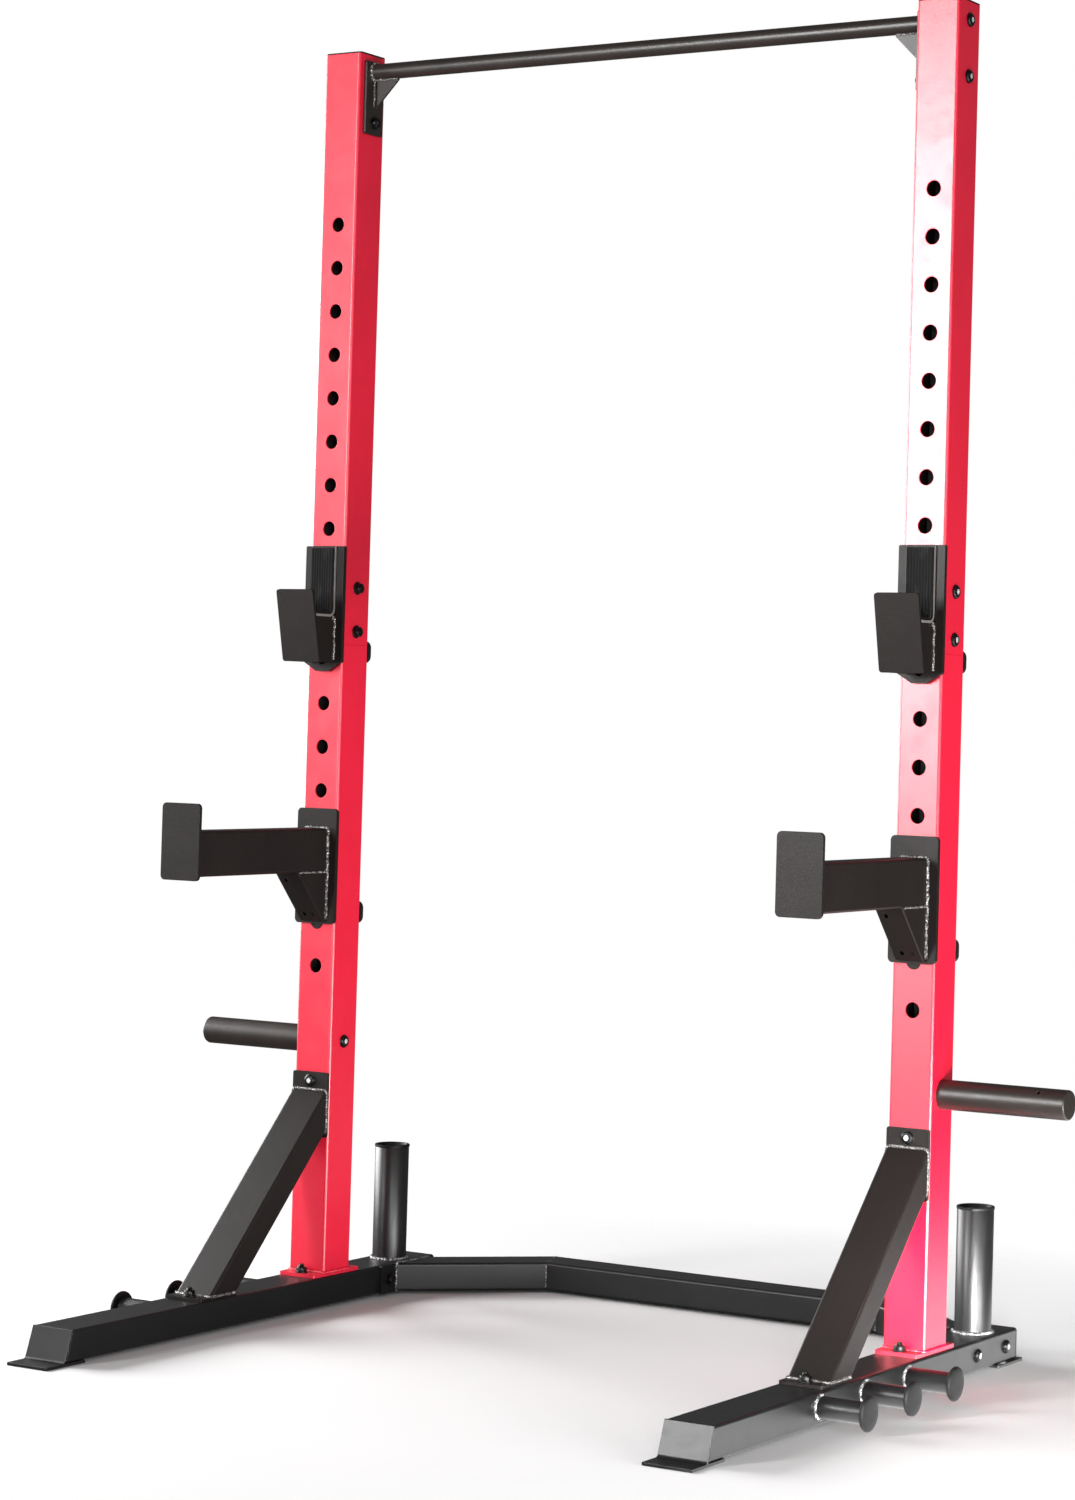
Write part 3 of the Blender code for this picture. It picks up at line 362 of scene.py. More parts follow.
def studio_floor(name):
    """Pale floor that fades into the backdrop. Gloss sees it dark, but for a strip by the right rail."""
    n = Nodes(name)
    tone = n.blend(n.noise(1.5, 2.0), (0.86, 0.86, 0.86), (0.90, 0.90, 0.90))
    n.set(Base_Color=tone, Roughness=0.9)
    axes = n.add("ShaderNodeSeparateXYZ")
    n.link(n.place, axes.inputs["Vector"])
    outward = n.math("ADD", axes.outputs["X"], n.math("MULTIPLY", axes.outputs["Y"], 0.5))
    strip = n.math("MULTIPLY", n.spread(axes.outputs["X"], *CARD_INNER_X, 0.0, 1.0),
                   n.spread(outward, *CARD_OUTER, 1.0, 0.0))
    card = n.add("ShaderNodeEmission")
    n.link(n.spread(strip, 0.0, 1.0, GLOSSY_FLOOR, CARD_STRENGTH), card.inputs["Strength"])
    distance = n.add("ShaderNodeVectorMath", operation="LENGTH")
    n.link(n.place, distance.inputs[0])
    fade = n.spread(distance.outputs["Value"], *FLOOR_FADE, 0.0, 1.0)
    clear = n.add("ShaderNodeBsdfTransparent").outputs["BSDF"]
    seen = n.mixed(fade, n.shader.outputs["BSDF"], clear)
    glossy = n.add("ShaderNodeLightPath").outputs["Is Glossy Ray"]
    surface = n.mixed(glossy, seen, card.outputs["Emission"])
    n.link(surface, n.tree.nodes["Material Output"].inputs["Surface"])
    return n.material


# the red coat turns near-black inside the uprights: bare steel, plus painted shade in the holes
RED = powder_coat("red_powder_coat", (0.76, 0.005, 0.036), (0.71, 0.004, 0.031), 0.35, 1.0,
                  bare_and_shaded_inside=UPRIGHT_SIZE / 2 - WALL + 0.0004)
BLACK = powder_coat("graphite_powder_coat", (0.008, 0.008, 0.0083), (0.006, 0.006, 0.0063), 0.37, 0.55)
BROWN = powder_coat("brown_black_powder_coat", (0.013, 0.0098, 0.0088), (0.010, 0.0075, 0.0068),
                    0.44, 0.22, 0.00009)
BROWN_GLOSS = powder_coat("brown_black_gloss_coat", (0.022, 0.016, 0.014), (0.016, 0.012, 0.010),
                          0.38, 0.60, 0.00009)
RED_WELD = powder_coat("red_weld", (0.74, 0.006, 0.038), (0.62, 0.004, 0.030), 0.30, 1.0, 0.0003)
BLACK_WELD = weld_metal("graphite_weld", (0.05, 0.05, 0.05), 0.35)
BROWN_WELD = weld_metal("brown_weld", (0.06, 0.052, 0.048), 0.35)
STEEL = fastener_metal("black_oxide_steel", (0.012, 0.012, 0.012), (0.05, 0.05, 0.05), 0.30, 0.7)
# near-white steel for the socket floors: a painted glint in the black bolt heads
SOCKET_GLINT = fastener_metal("socket_painted_glint", (0.72, 0.72, 0.72), (0.90, 0.90, 0.90), 0.30, 0.3)
BARE_EDGE = powder_coat("worn_edge", (0.26, 0.24, 0.225), (0.12, 0.11, 0.10), 0.34, 0.8, 0.0001)
PLASTIC = moulded_plastic("black_plastic", (0.0022, 0.0022, 0.0024), 0.50)
RUBBER = liner_rubber("ribbed_rubber", (0.010, 0.010, 0.010))


# ---------------------------------------------------------------- mesh tools
def mesh_from(verts, faces):
    """A mesh whose faces all point outwards."""
    work = bmesh.new()
    handles = [work.verts.new(v) for v in verts]
    for face in faces:
        work.faces.new([handles[i] for i in face])
    bmesh.ops.recalc_face_normals(work, faces=work.faces)
    result = bpy.data.meshes.new("shape")
    work.to_mesh(result)
    work.free()
    return result


def skin(rings, start, closed):
    """Faces between neighbouring rings, whose points begin at index start."""
    count = len(rings[0])
    faces = []
    last = len(rings) if closed else len(rings) - 1
    for r in range(last):
        a = start + r * count
        b = start + (r + 1) % len(rings) * count
        for i in range(count):
            j = (i + 1) % count
            faces.append((a + i, a + j, b + j, b + i))
    return faces


def loft(rings, closed=False):
    """A solid skinned over rings of equal length: a closed loop of rings, or a run with two flat ends."""
    count = len(rings[0])
    verts = [point for ring in rings for point in ring]
    faces = skin(rings, 0, closed)
    if not closed:
        faces.append(tuple(range(count)))
        faces.append(tuple((len(rings) - 1) * count + i for i in range(count)))
    return mesh_from(verts, faces)


def hollow_loft(outer, inner):
    """A tube open at both ends."""
    rings = outer + inner[::-1]
    return loft(rings, closed=True)


def circle(radius, steps, phase=0.5):
    turns = [2 * math.pi * (i + phase) / steps for i in range(steps)]
    return [(radius * math.cos(t), radius * math.sin(t)) for t in turns]


def rounded_rectangle(width, height, radius, steps=CORNER_STEPS):
    points = []
    for quarter, (sx, sy) in enumerate(((1, 1), (-1, 1), (-1, -1), (1, -1))):
        centre = (sx * (width / 2 - radius), sy * (height / 2 - radius))
        for step in range(steps + 1):
            angle = math.pi / 2 * (quarter + step / steps)
            points.append((centre[0] + radius * math.cos(angle), centre[1] + radius * math.sin(angle)))
    return points


def rounded_outline(corners, radius, steps=5):
    """A polygon with every corner rounded by the same radius."""
    points = []
    count = len(corners)
    for i, corner in enumerate(corners):
        here = Vector(corner)
        to_last = (Vector(corners[i - 1]) - here).normalized()
        to_next = (Vector(corners[(i + 1) % count]) - here).normalized()
        half = to_last.angle(to_next) / 2
        centre = here + (to_last + to_next).normalized() * (radius / math.sin(half))
        first = here + to_last * (radius / math.tan(half)) - centre
        last = here + to_next * (radius / math.tan(half)) - centre
        for step in range(steps + 1):
            spoke = first.lerp(last, step / steps).normalized() * radius
            points.append(tuple(centre + spoke))
    return points


def sweep_rings(outline, path, up, end_normals):
    """Rings of an outline carried along straight runs, mitred where the runs meet."""
    stops = [Vector(p) for p in path]
    up = Vector(up)
    runs = [(b - a).normalized() for a, b in zip(stops, stops[1:])]
    rings = []
    for k, stop in enumerate(stops):
        run = runs[min(k, len(runs) - 1)]
        if k == 0:
            cut = Vector(end_normals[0])
        elif k == len(stops) - 1:
            cut = Vector(end_normals[1])
        else:
            cut = runs[k - 1] + runs[k]
        side = run.cross(up).normalized()
        lift = side.cross(run).normalized()
        ring = []
        for a, b in outline:
            offset = a * side + b * lift
            ring.append(stop + offset - run * (offset.dot(cut) / run.dot(cut)))
        rings.append(ring)
    return rings


def swept_tube(width, height, path, up, end_normals):
    """Rectangular tube along a path. width runs sideways and height along up."""
    outer = rounded_rectangle(width, height, TUBE_RADIUS)
    inner = rounded_rectangle(width - 2 * WALL, height - 2 * WALL, TUBE_RADIUS - WALL / 2)
    return hollow_loft(*(sweep_rings(o, path, up, end_normals) for o in (outer, inner)))


def prism(outline, axis, start, end):
    """Extrude an outline along a world axis."""
    return loft([placed(outline, axis, level) for level in sorted((start, end))])


def turned(profile, steps=ROUND_STEPS, closed=False, axis="X"):
    """A solid of revolution from (distance, radius) stations. A closed profile makes a ring or a tube."""
    return loft([placed(circle(radius, steps), axis, level) for level, radius in profile], closed)


def panel(size, radius, centre, axis, start, end):
    """A plate with rounded corners. size and centre hold the other two axes, in X, Y, Z order."""
    return prism(shifted(rounded_rectangle(*size, radius), *centre), axis, start, end)


def drill(axis, a, b, start, end):
    """A bolt's clearance hole, to be cut. a and b place it on the other two axes."""
    return prism(shifted(circle(BOLT_RADIUS + BOLT_CLEARANCE, 24), a, b), axis, start, end)


def shifted(points, a, b):
    return [(p + a, q + b) for p, q in points]


def placed(outline, axis, level):
    """An outline in space, on a plane across a world axis. It holds the other two axes, in X, Y, Z order."""
    at = "XYZ".index(axis)
    return [(*point[:at], level, *point[at:]) for point in outline]


def merged(meshes):
    """Several separate closed shapes in one mesh."""
    work = bmesh.new()
    for item in meshes:
        work.from_mesh(item)
    result = bpy.data.meshes.new("shapes")
    work.to_mesh(result)
    work.free()
    return result


def moved(mesh, location=(0.0, 0.0, 0.0), turn=None):
    result = mesh.copy()
    matrix = Matrix.Translation(location)
    if turn:
        matrix = matrix @ Matrix.Rotation(math.radians(turn[0]), 4, turn[1])
    result.transform(matrix)
    return result


def combined(base, tools, operation):
    """The base with each tool joined to it or cut from it."""
    target = bpy.data.objects.new("work", base)
    bpy.context.collection.objects.link(target)
    for tool_mesh in tools:
        tool = bpy.data.objects.new("tool", tool_mesh)
        bpy.context.collection.objects.link(tool)
        step = target.modifiers.new("join", "BOOLEAN")
        step.operation = operation
        step.solver = "EXACT"
        step.object = tool
        depsgraph = bpy.context.evaluated_depsgraph_get()
        target.data = bpy.data.meshes.new_from_object(target.evaluated_get(depsgraph))
        target.modifiers.clear()
        bpy.data.objects.remove(tool)
    result = target.data
    bpy.data.objects.remove(target)
    return result


def welded(parts, cuts=()):
    return combined(combined(parts[0], parts[1:], "UNION"), cuts, "DIFFERENCE")


def resampled(points, step, closed):
    """Evenly spaced points along a polyline."""
    stops = [Vector(p) for p in points]
    if closed:
        stops.append(stops[0])
    lengths = [(b - a).length for a, b in zip(stops, stops[1:])]
    count = max(4, round(sum(lengths) / step))
    result = []
    leg = 0
    passed = 0.0
    for i in range(count if closed else count + 1):
        target = sum(lengths) * i / count
        while leg < len(lengths) - 1 and passed + lengths[leg] < target:
            passed += lengths[leg]
            leg += 1
        result.append(stops[leg].lerp(stops[leg + 1], (target - passed) / lengths[leg]))
    return result


def bead(points, radius, axis, closed=True):
    """A rippled weld bead along a flat path. axis is the normal of the path's plane."""
    stops = resampled(points, WELD_STEP, closed)
    axis = Vector(axis)
    rings = []
    count = len(stops)
    for i, stop in enumerate(stops):
        ahead = stops[(i + 1) % count] if closed else stops[min(i + 1, count - 1)]
        behind = stops[i - 1] if closed else stops[max(i - 1, 0)]
        side = (ahead - behind).normalized().cross(axis).normalized()
        along = i * WELD_STEP
        ripple = 0.15 * math.cos(2 * math.pi * along / WELD_RIPPLE)
        wander = 0.30 * noise.noise(stop * 140.0)
        r = radius * (1.0 + ripple + wander)
        shift = side * (0.25 * radius * noise.noise(stop * 90.0 + Vector((7.0, 3.0, 1.0))))
        rings.append([stop + shift + r * (side * a + axis * b) for a, b in circle(1.0, 10)])
    return loft(rings, closed)


def ring_bead(outline, axis, level, radius):
    """A weld bead round an outline, on a plane across a world axis."""
    return bead(placed(outline, axis, level), radius, [float(name == axis) for name in "XYZ"])


def seam(first, last, radius, axis):
    """A straight weld bead."""
    return bead((first, last), radius, axis, closed=False)


# ---------------------------------------------------------------- pieces
def piece(name, mesh, finish, body="rack", nodes=(), location=(0.0, 0.0, 0.0), turn=0.0, edge=EDGE):
    """Show a mesh: it rides on a CAD body and stands for the CAD nodes that it replaces."""
    result = bpy.data.objects.new(name, mesh)
    bpy.context.collection.objects.link(result)
    result.location = location
    result.rotation_euler = (0.0, 0.0, turn)
    mesh.materials.clear()
    mesh.materials.append(finish)
    mesh.shade_smooth()
    if edge:
        rounding = result.modifiers.new("edges", "BEVEL")
        rounding.width = edge
        rounding.segments = 2
        rounding.limit_method = "ANGLE"
        rounding.angle_limit = math.radians(38.0)
        even = result.modifiers.new("normals", "WEIGHTED_NORMAL")
        even.weight = 80
    else:
        mesh.set_sharp_from_angle(angle=math.radians(50.0))
    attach(result, body)
    if nodes:
        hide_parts(*nodes)
    return result


def pair(name, mesh, finish, location, body="rack", nodes=(), turned_left=False, edge=EDGE):
    """The same mesh on both sides. body and nodes take the side's name where they hold {}."""
    x, y, z = location
    for side, sign in SIDES:
        turn = math.pi if turned_left and sign < 0 else 0.0
        own_nodes = [node.format(side) for node in nodes]
        place = (sign * x, y, z)
        piece(f"{name}_{side}", mesh.copy(), finish, body.format(side), own_nodes, place, turn, edge)


def hole_z(index):
    return TOP_HOLE_Z - index * HOLE_PITCH


def standing_tube(size, low_z, high_z):
    return swept_tube(size, size, ((0, 0, low_z), (0, 0, high_z)), (0, 1, 0), ((0, 0, 1), (0, 0, 1)))


def tube_holes(size, holes, bolt_z):
    """Adjustment holes from front to back and bolt holes from side to side, to cut from a standing tube."""
    hole = circle(HOLE_RADIUS, HOLE_STEPS)
    cuts = [prism(shifted(hole, 0.0, hole_z(i)), "Y", -size, size) for i in holes]
    return merged(cuts + [drill("X", 0.0, z, -size, size) for z in bolt_z])


# ---------------------------------------------------------------- base
def base_rails():
    slant = Vector((0.0, 1.0, -RAIL_SLANT / RAIL_HEIGHT)).normalized()
    ends = [(0.0, y, RAIL_CENTRE_Z) for y in (RAIL_FRONT_Y - RAIL_SLANT / 2, RAIL_REAR_Y - END_CAP - GAP)]
    tube = swept_tube(RAIL_WIDTH, RAIL_HEIGHT, ends, (0, 0, 1), (slant, (0, 1, 0)))
    pair("rail", tube, BLACK, ON_RAIL, nodes=["base_rail_{}"], edge=0.0003)


def front_feet():
    """The rail's closing plate, bent forward along the floor."""
    t = FOOT_THICKNESS
    lean = RAIL_SLANT / RAIL_HEIGHT
    top_y = RAIL_FRONT_Y - GAP
    low_y = top_y - lean * RAIL_HEIGHT
    bend = 0.004
    outline = [
        (FRONT_FOOT_Y, 0.0),
        (FRONT_FOOT_BACK_Y, 0.0),
        (FRONT_FOOT_BACK_Y, t),
        (low_y, t),
        (top_y, RAIL_TOP_Z),
        (top_y - WALL, RAIL_TOP_Z),
        (low_y - WALL + 0.3 * bend * lean, t + bend),
        (low_y - WALL - 0.35 * bend, t + 0.35 * bend),
        (low_y - WALL - bend, t),
        (FRONT_FOOT_Y, t),
    ]
    plate = prism(outline, "X", -RAIL_WIDTH / 2, RAIL_WIDTH / 2)
    pair("front_foot_plate", plate, BLACK, ON_RAIL, nodes=["front_foot_{}"], edge=0.0008)


def rear_feet():
    size = (REAR_FOOT_WIDTH, REAR_FOOT_Y[1] - REAR_FOOT_Y[0])
    plate = panel(size, 0.004, (0.0, sum(REAR_FOOT_Y) / 2), "Z", 0.0, FOOT_THICKNESS)
    pair("rear_foot_plate", plate, BLACK, ON_RAIL, nodes=["rear_foot_{}"], edge=0.0008)
    seams = []
    for side in (-1, 1):
        x = side * (RAIL_WIDTH / 2 + 0.0004)
        ends = [(x, REAR_FOOT_Y[0] + y, FOOT_THICKNESS) for y in (0.010, 0.034)]
        seams.append(seam(*ends, 0.0022, (0, 0, 1)))
    pair("rear_foot_weld", merged(seams), BLACK_WELD, ON_RAIL, edge=0)


def rail_end_caps():
    bore = 2 * (WALL + GAP)
    centre = (0.0, RAIL_CENTRE_Z)
    plug = (RAIL_WIDTH - bore, RAIL_HEIGHT - bore)
    inset = (RAIL_WIDTH - 0.016, RAIL_HEIGHT - 0.016)
    parts = [
        panel((RAIL_WIDTH, RAIL_HEIGHT), TUBE_RADIUS, centre, "Y", RAIL_REAR_Y - END_CAP, RAIL_REAR_Y),
        panel(plug, TUBE_RADIUS - WALL / 2, centre, "Y", RAIL_REAR_Y - 0.018, RAIL_REAR_Y - OVERLAP),
    ]
    dish = panel(inset, TUBE_RADIUS, centre, "Y", RAIL_REAR_Y - 0.0009, RAIL_REAR_Y + 0.002)
    pair("end_cap", welded(parts, [dish]), PLASTIC, ON_RAIL, nodes=["rail_end_cap_{}"], edge=0.0004)


def rear_crossbar():
    rail_face = UPRIGHT_X - RAIL_WIDTH / 2 - GAP
    flange_face = rail_face - PLATE
    centre_y = CROSSBAR_FRONT_Y + CROSSBAR_DEPTH / 2
    angle = math.atan2(CROSSBAR_FRONT_Y - CROSSBAR_START_Y, flange_face - CROSSBAR_BEND_X)
    bend_x = CROSSBAR_BEND_X + CROSSBAR_DEPTH / 2 * math.tan(angle / 2)
    end_x = flange_face + OVERLAP
    end_y = centre_y - (end_x - bend_x) * math.tan(angle)
    corners = ((-end_x, end_y), (-bend_x, centre_y), (bend_x, centre_y), (end_x, end_y))
    path = placed(corners, "Z", RAIL_CENTRE_Z)
    parts = [swept_tube(CROSSBAR_DEPTH, RAIL_HEIGHT, path, (0, 0, 1), ((1, 0, 0), (1, 0, 0)))]
    flange = (CROSSBAR_FLANGE_Y[1] - CROSSBAR_FLANGE_Y[0], RAIL_HEIGHT)
    centre = (sum(CROSSBAR_FLANGE_Y) / 2, RAIL_CENTRE_Z)
    drills = []
    for _, side in SIDES:
        parts.append(panel(flange, 0.003, centre, "X", side * flange_face, side * rail_face))
        ends = (side * (flange_face - 0.002), side * (rail_face + 0.002))
        drills += [drill("X", y, RAIL_CENTRE_Z, *ends) for _, y in CROSSBAR_BOLT_Y]
    piece("crossbar", welded(parts, [merged(drills)]), BLACK, nodes=["rear_crossbar"], edge=0.0003)

    # welds where the tube meets its flanges, and the ground seam over each mitre
    half_mitre = CROSSBAR_DEPTH / 2 / math.cos(angle / 2)
    mitre = Vector((math.sin(angle / 2), math.cos(angle / 2), 0.0)) * half_mitre
    foot = rounded_rectangle(2 * (CROSSBAR_DEPTH / 2 / math.cos(angle)), RAIL_HEIGHT, TUBE_RADIUS)
    foot = shifted(foot, end_y + OVERLAP * math.tan(angle), RAIL_CENTRE_Z)
    rise = Vector((0.0, 0.0, RAIL_HEIGHT / 2 - TUBE_RADIUS))
    welds = []
    for _, side in SIDES:
        welds.append(ring_bead(foot, "X", side * (flange_face - 0.0004), 0.0022))
        across = Vector((mitre.x * side, mitre.y, 0.0))
        middle = Vector((side * bend_x, centre_y, RAIL_CENTRE_Z + RAIL_HEIGHT / 2 - 0.0007))
        welds.append(seam(middle - across * 0.93, middle + across * 0.93, 0.0011, (0, 0, 1)))
        face = Vector((side * bend_x, centre_y, RAIL_CENTRE_Z)) - across * 0.995
        welds.append(seam(face - rise, face + rise, 0.0010, (1, 0, 0)))
    piece("crossbar_welds", merged(welds), BLACK_WELD, edge=0)


def band_pegs():
    """Short tubes on the rails' outer sides, each with a wide round cap."""
    inner = BAND_PEG_RADIUS - 0.0025
    end = BAND_PEG_LENGTH
    tube = turned(((GAP, inner), (GAP, BAND_PEG_RADIUS), (end, BAND_PEG_RADIUS), (end, inner)), closed=True)
    lip = end + GAP
    radius = BAND_CAP_RADIUS
    thick = BAND_CAP_THICKNESS
    cap = turned((
        (end - 0.014, inner - 0.0008),
        (end - 0.013, inner - 2 * GAP),
        (lip, inner - 2 * GAP),
        (lip, radius - 0.0022),
        (lip + 0.0006, radius - 0.0008),
        (lip + 0.0018, radius),
        (lip + thick - 0.0034, radius),
        (lip + thick - 0.0016, radius - 0.0010),
        (lip + thick - 0.0004, radius - 0.0034),
        (lip + thick, radius - 0.0060),
        (lip + thick + 0.0007, radius * 0.55),
        (lip + thick + 0.0011, radius * 0.25),
        (lip + thick + 0.0012, radius * 0.05),
    ))
    ring = ring_bead(circle(BAND_PEG_RADIUS + 0.0008, 40), "X", 0.0006, 0.0030)
    x = UPRIGHT_X + RAIL_WIDTH / 2
    for label, y in BAND_PEG_Y:
        place = (x, y, BAND_PEG_Z)
        nodes = [f"band_peg_{label}_{{}}"]
        pair(f"band_peg_tube_{label}", tube, BLACK, place, nodes=nodes, turned_left=True, edge=0.0003)
        nodes = [f"band_peg_cap_{label}_{{}}"]
        pair(f"band_cap_{label}", cap, PLASTIC, place, nodes=nodes, turned_left=True, edge=0)
        pair(f"band_peg_weld_{label}", ring, BLACK_WELD, place, turned_left=True, edge=0)


def bar_storage_tubes():
    """Tubes that stand on the rails, each lined with a plastic sleeve whose rim hooks over the top."""
    radius = STORAGE_TUBE_RADIUS
    bore = radius - WALL
    foot = RAIL_TOP_Z + GAP
    top = STORAGE_TUBE_TOP_Z
    tube = turned((
        (foot, bore),
        (foot, radius),
        (top - 0.001, radius),
        (top, radius - 0.001),
        (top, bore + 0.0008),
        (top - 0.0008, bore),
    ), closed=True, axis="Z")
    place = (UPRIGHT_X, STORAGE_TUBE_Y, 0.0)
    pair("storage_tube", tube, BLACK, place, nodes=["bar_storage_tube_{}"], edge=0)
    ring = ring_bead(circle(radius + 0.0012, 60), "Z", RAIL_TOP_Z + 0.0012, 0.0031)
    pair("storage_tube_weld", ring, BLACK_WELD, place, edge=0)

    liner = bore - 0.0001
    sleeve = turned((
        (top - SLEEVE_DEPTH, liner),
        (top + 0.0002, liner),
        (top + 0.0002, radius - 0.0004),
        (top - 0.003, radius + 0.0003),
        (top - 0.003, radius + 0.0010),
        (top + 0.0006, radius + 0.0010),
        (top + 0.0012, radius + 0.0002),
        (top + 0.0012, liner - 0.0008),
        (top + 0.0004, liner - SLEEVE_WALL),
        (top - SLEEVE_DEPTH, liner - SLEEVE_WALL),
    ), closed=True, axis="Z")
    pair("storage_tube_sleeve", sleeve, PLASTIC, place, edge=0)


# ---------------------------------------------------------------- uprights
def uprights():
    size = UPRIGHT_SIZE
    plate_z = RAIL_TOP_Z + GAP
    lower_holes = tube_holes(size, range(JOINT_HOLE, HOLE_COUNT), [PLATE_PEG_Z])
    upper_holes = tube_holes(size, range(JOINT_HOLE), [z for _, z in SPLICE_BOLT_Z + BAR_BOLT_Z])
    plate = panel((size, size + 2 * BASE_PLATE_OVERHANG), 0.003, (0.0, 0.0), "Z", plate_z, plate_z + PLATE)
    lower = [standing_tube(size, plate_z + PLATE - OVERLAP, UPRIGHT_JOINT_Z), plate]
    upper = [standing_tube(size, UPRIGHT_JOINT_Z + GAP, UPRIGHT_TOP_Z)]
    for label, parts, holes in (("lower", lower, lower_holes), ("upper", upper, upper_holes)):
        nodes = [f"upright_{label}_{{}}"]
        pair(f"upright_{label}_tube", welded(parts, [holes]), RED, ON_UPRIGHT, nodes=nodes, edge=0.0006)
    outline = rounded_rectangle(size + 0.001, size + 0.001, TUBE_RADIUS)
    ring = ring_bead(outline, "Z", plate_z + PLATE + 0.0006, 0.0030)
    pair("upright_foot_weld", ring, RED_WELD, ON_UPRIGHT, edge=0)


def splice_sleeves():
    size = UPRIGHT_SIZE - 2 * (WALL + GAP)
    holes = tube_holes(size, (JOINT_HOLE - 1, JOINT_HOLE), [z for _, z in SPLICE_BOLT_Z])
    sleeve = welded([standing_tube(size, *SPLICE_Z)], [holes])
    pair("splice_tube", sleeve, BLACK, ON_UPRIGHT, nodes=["splice_sleeve_{}"], edge=0.0003)


def upright_caps():
    """A plug inside the tube under a cover that is arched from front to back."""
    size = UPRIGHT_SIZE
    plug = size - 2 * (WALL + 2 * GAP)
    base_z = UPRIGHT_TOP_Z + GAP
    flat = (
        (UPRIGHT_TOP_Z - 0.012, plug - 0.0010, 0.0022),
        (UPRIGHT_TOP_Z - 0.010, plug, 0.0025),
        (base_z, plug, 0.0025),
        (base_z, size - 0.0004, TUBE_RADIUS),
        (base_z + 0.0004, size, TUBE_RADIUS),
    )
    rings = [placed(rounded_rectangle(width, width, radius), "Z", z) for z, width, radius in flat]
    rim = rounded_rectangle(size, size, TUBE_RADIUS)
    for scale in (1.0, 0.985, 0.9, 0.75, 0.5, 0.25, 0.04):
        drop = 0.0005 if scale == 1.0 else 0.0
        ring = []
        for a, b in rim:
            across = 1.0 - (scale * a / size * 2) ** 2
            along = 1.0 - (scale * b / size * 2) ** 2
            height = CAP_EDGE + CAP_ARCH * along + CAP_CROWN * across - drop
            ring.append((scale * a, scale * b, base_z + height))
        rings.append(ring)
    pair("top_cap", loft(rings), PLASTIC, ON_UPRIGHT, nodes=["upright_cap_{}"], edge=0)


def pull_up_bar():
    face = UPRIGHT_X - UPRIGHT_SIZE / 2 - GAP
    flange_face = face - PLATE
    reach = flange_face + OVERLAP
    bore = BAR_RADIUS - WALL
    tube = turned(((reach, bore), (reach, BAR_RADIUS), (-reach, BAR_RADIUS), (-reach, bore)), closed=True)
    parts = [moved(tube, (0.0, UPRIGHT_CENTRE_Y, BAR_Z))]
    flange = (BAR_FLANGE_WIDTH, BAR_FLANGE_Z[1] - BAR_FLANGE_Z[0])
    centre = (UPRIGHT_CENTRE_Y, sum(BAR_FLANGE_Z) / 2)
    ring = shifted(circle(BAR_RADIUS + 0.0008, 40), UPRIGHT_CENTRE_Y, BAR_Z)
    under = BAR_Z - BAR_RADIUS + OVERLAP
    seam_z = BAR_Z - BAR_RADIUS - 0.0004
    drills = []
    welds = []
    for _, side in SIDES:
        parts.append(panel(flange, 0.004, centre, "X", side * flange_face, side * face))
        gusset = [
            (side * reach, under),
            (side * (flange_face - BAR_GUSSET), under),
            (side * (flange_face - BAR_GUSSET), under - 0.004),
            (side * (flange_face - 0.004), under - BAR_GUSSET),
            (side * reach, under - BAR_GUSSET),
        ]
        parts.append(prism(gusset, "Y", UPRIGHT_CENTRE_Y - 0.0025, UPRIGHT_CENTRE_Y + 0.0025))
        ends = (side * (flange_face - 0.002), side * (face + 0.002))
        drills += [drill("X", UPRIGHT_CENTRE_Y, z, *ends) for _, z in BAR_BOLT_Z]
        root_x = side * (flange_face - 0.0006)
        welds.append(ring_bead(ring, "X", root_x, 0.0028))
        for y in (UPRIGHT_CENTRE_Y - 0.0028, UPRIGHT_CENTRE_Y + 0.0028):
            ends = ((root_x, y, under - 0.002), (root_x, y, under - BAR_GUSSET + 0.001))
            welds.append(seam(*ends, 0.0018, (0, 1, 0)))
            ends = [(side * x, y, seam_z) for x in (flange_face - 0.003, flange_face - BAR_GUSSET + 0.001)]
            welds.append(seam(*ends, 0.0018, (0, 1, 0)))
    bar = welded(parts, [merged(drills)])
    piece("pull_up_bar_tube", bar, BROWN_GLOSS, nodes=["pull_up_bar"], edge=0.0004)
    piece("pull_up_bar_welds", merged(welds), BROWN_WELD, edge=0)


def plate_pegs():
    """Tubes with a closed outer end, a vent near it, and a screw hole in their root."""
    length = PLATE_PEG_LENGTH
    radius = PLATE_PEG_RADIUS
    shell = turned((
        (GAP, radius),
        (length - 0.0030, radius),
        (length - 0.0012, radius - 0.0006),
        (length - 0.0003, radius - 0.0016),
        (length, radius - 0.0030),
    ))
    bore = turned(((PLATE_PEG_ROOT, radius - WALL), (length - 0.004, radius - WALL)), 32)
    screw_hole = turned(((-0.002, 0.0056), (PLATE_PEG_ROOT + 0.002, 0.0056)), 24)
    vent = prism(shifted(circle(VENT_RADIUS, 24), length - VENT_FROM_END, 0.0), "Z", 0.016, 0.030)
    peg = welded([shell], [bore, screw_hole, moved(vent, turn=(VENT_TURN, "X"))])
    place = (UPRIGHT_X + UPRIGHT_SIZE / 2, UPRIGHT_CENTRE_Y, PLATE_PEG_Z)
    pair("plate_peg_tube", peg, BROWN_GLOSS, place, nodes=["plate_peg_{}"], turned_left=True, edge=0.0003)


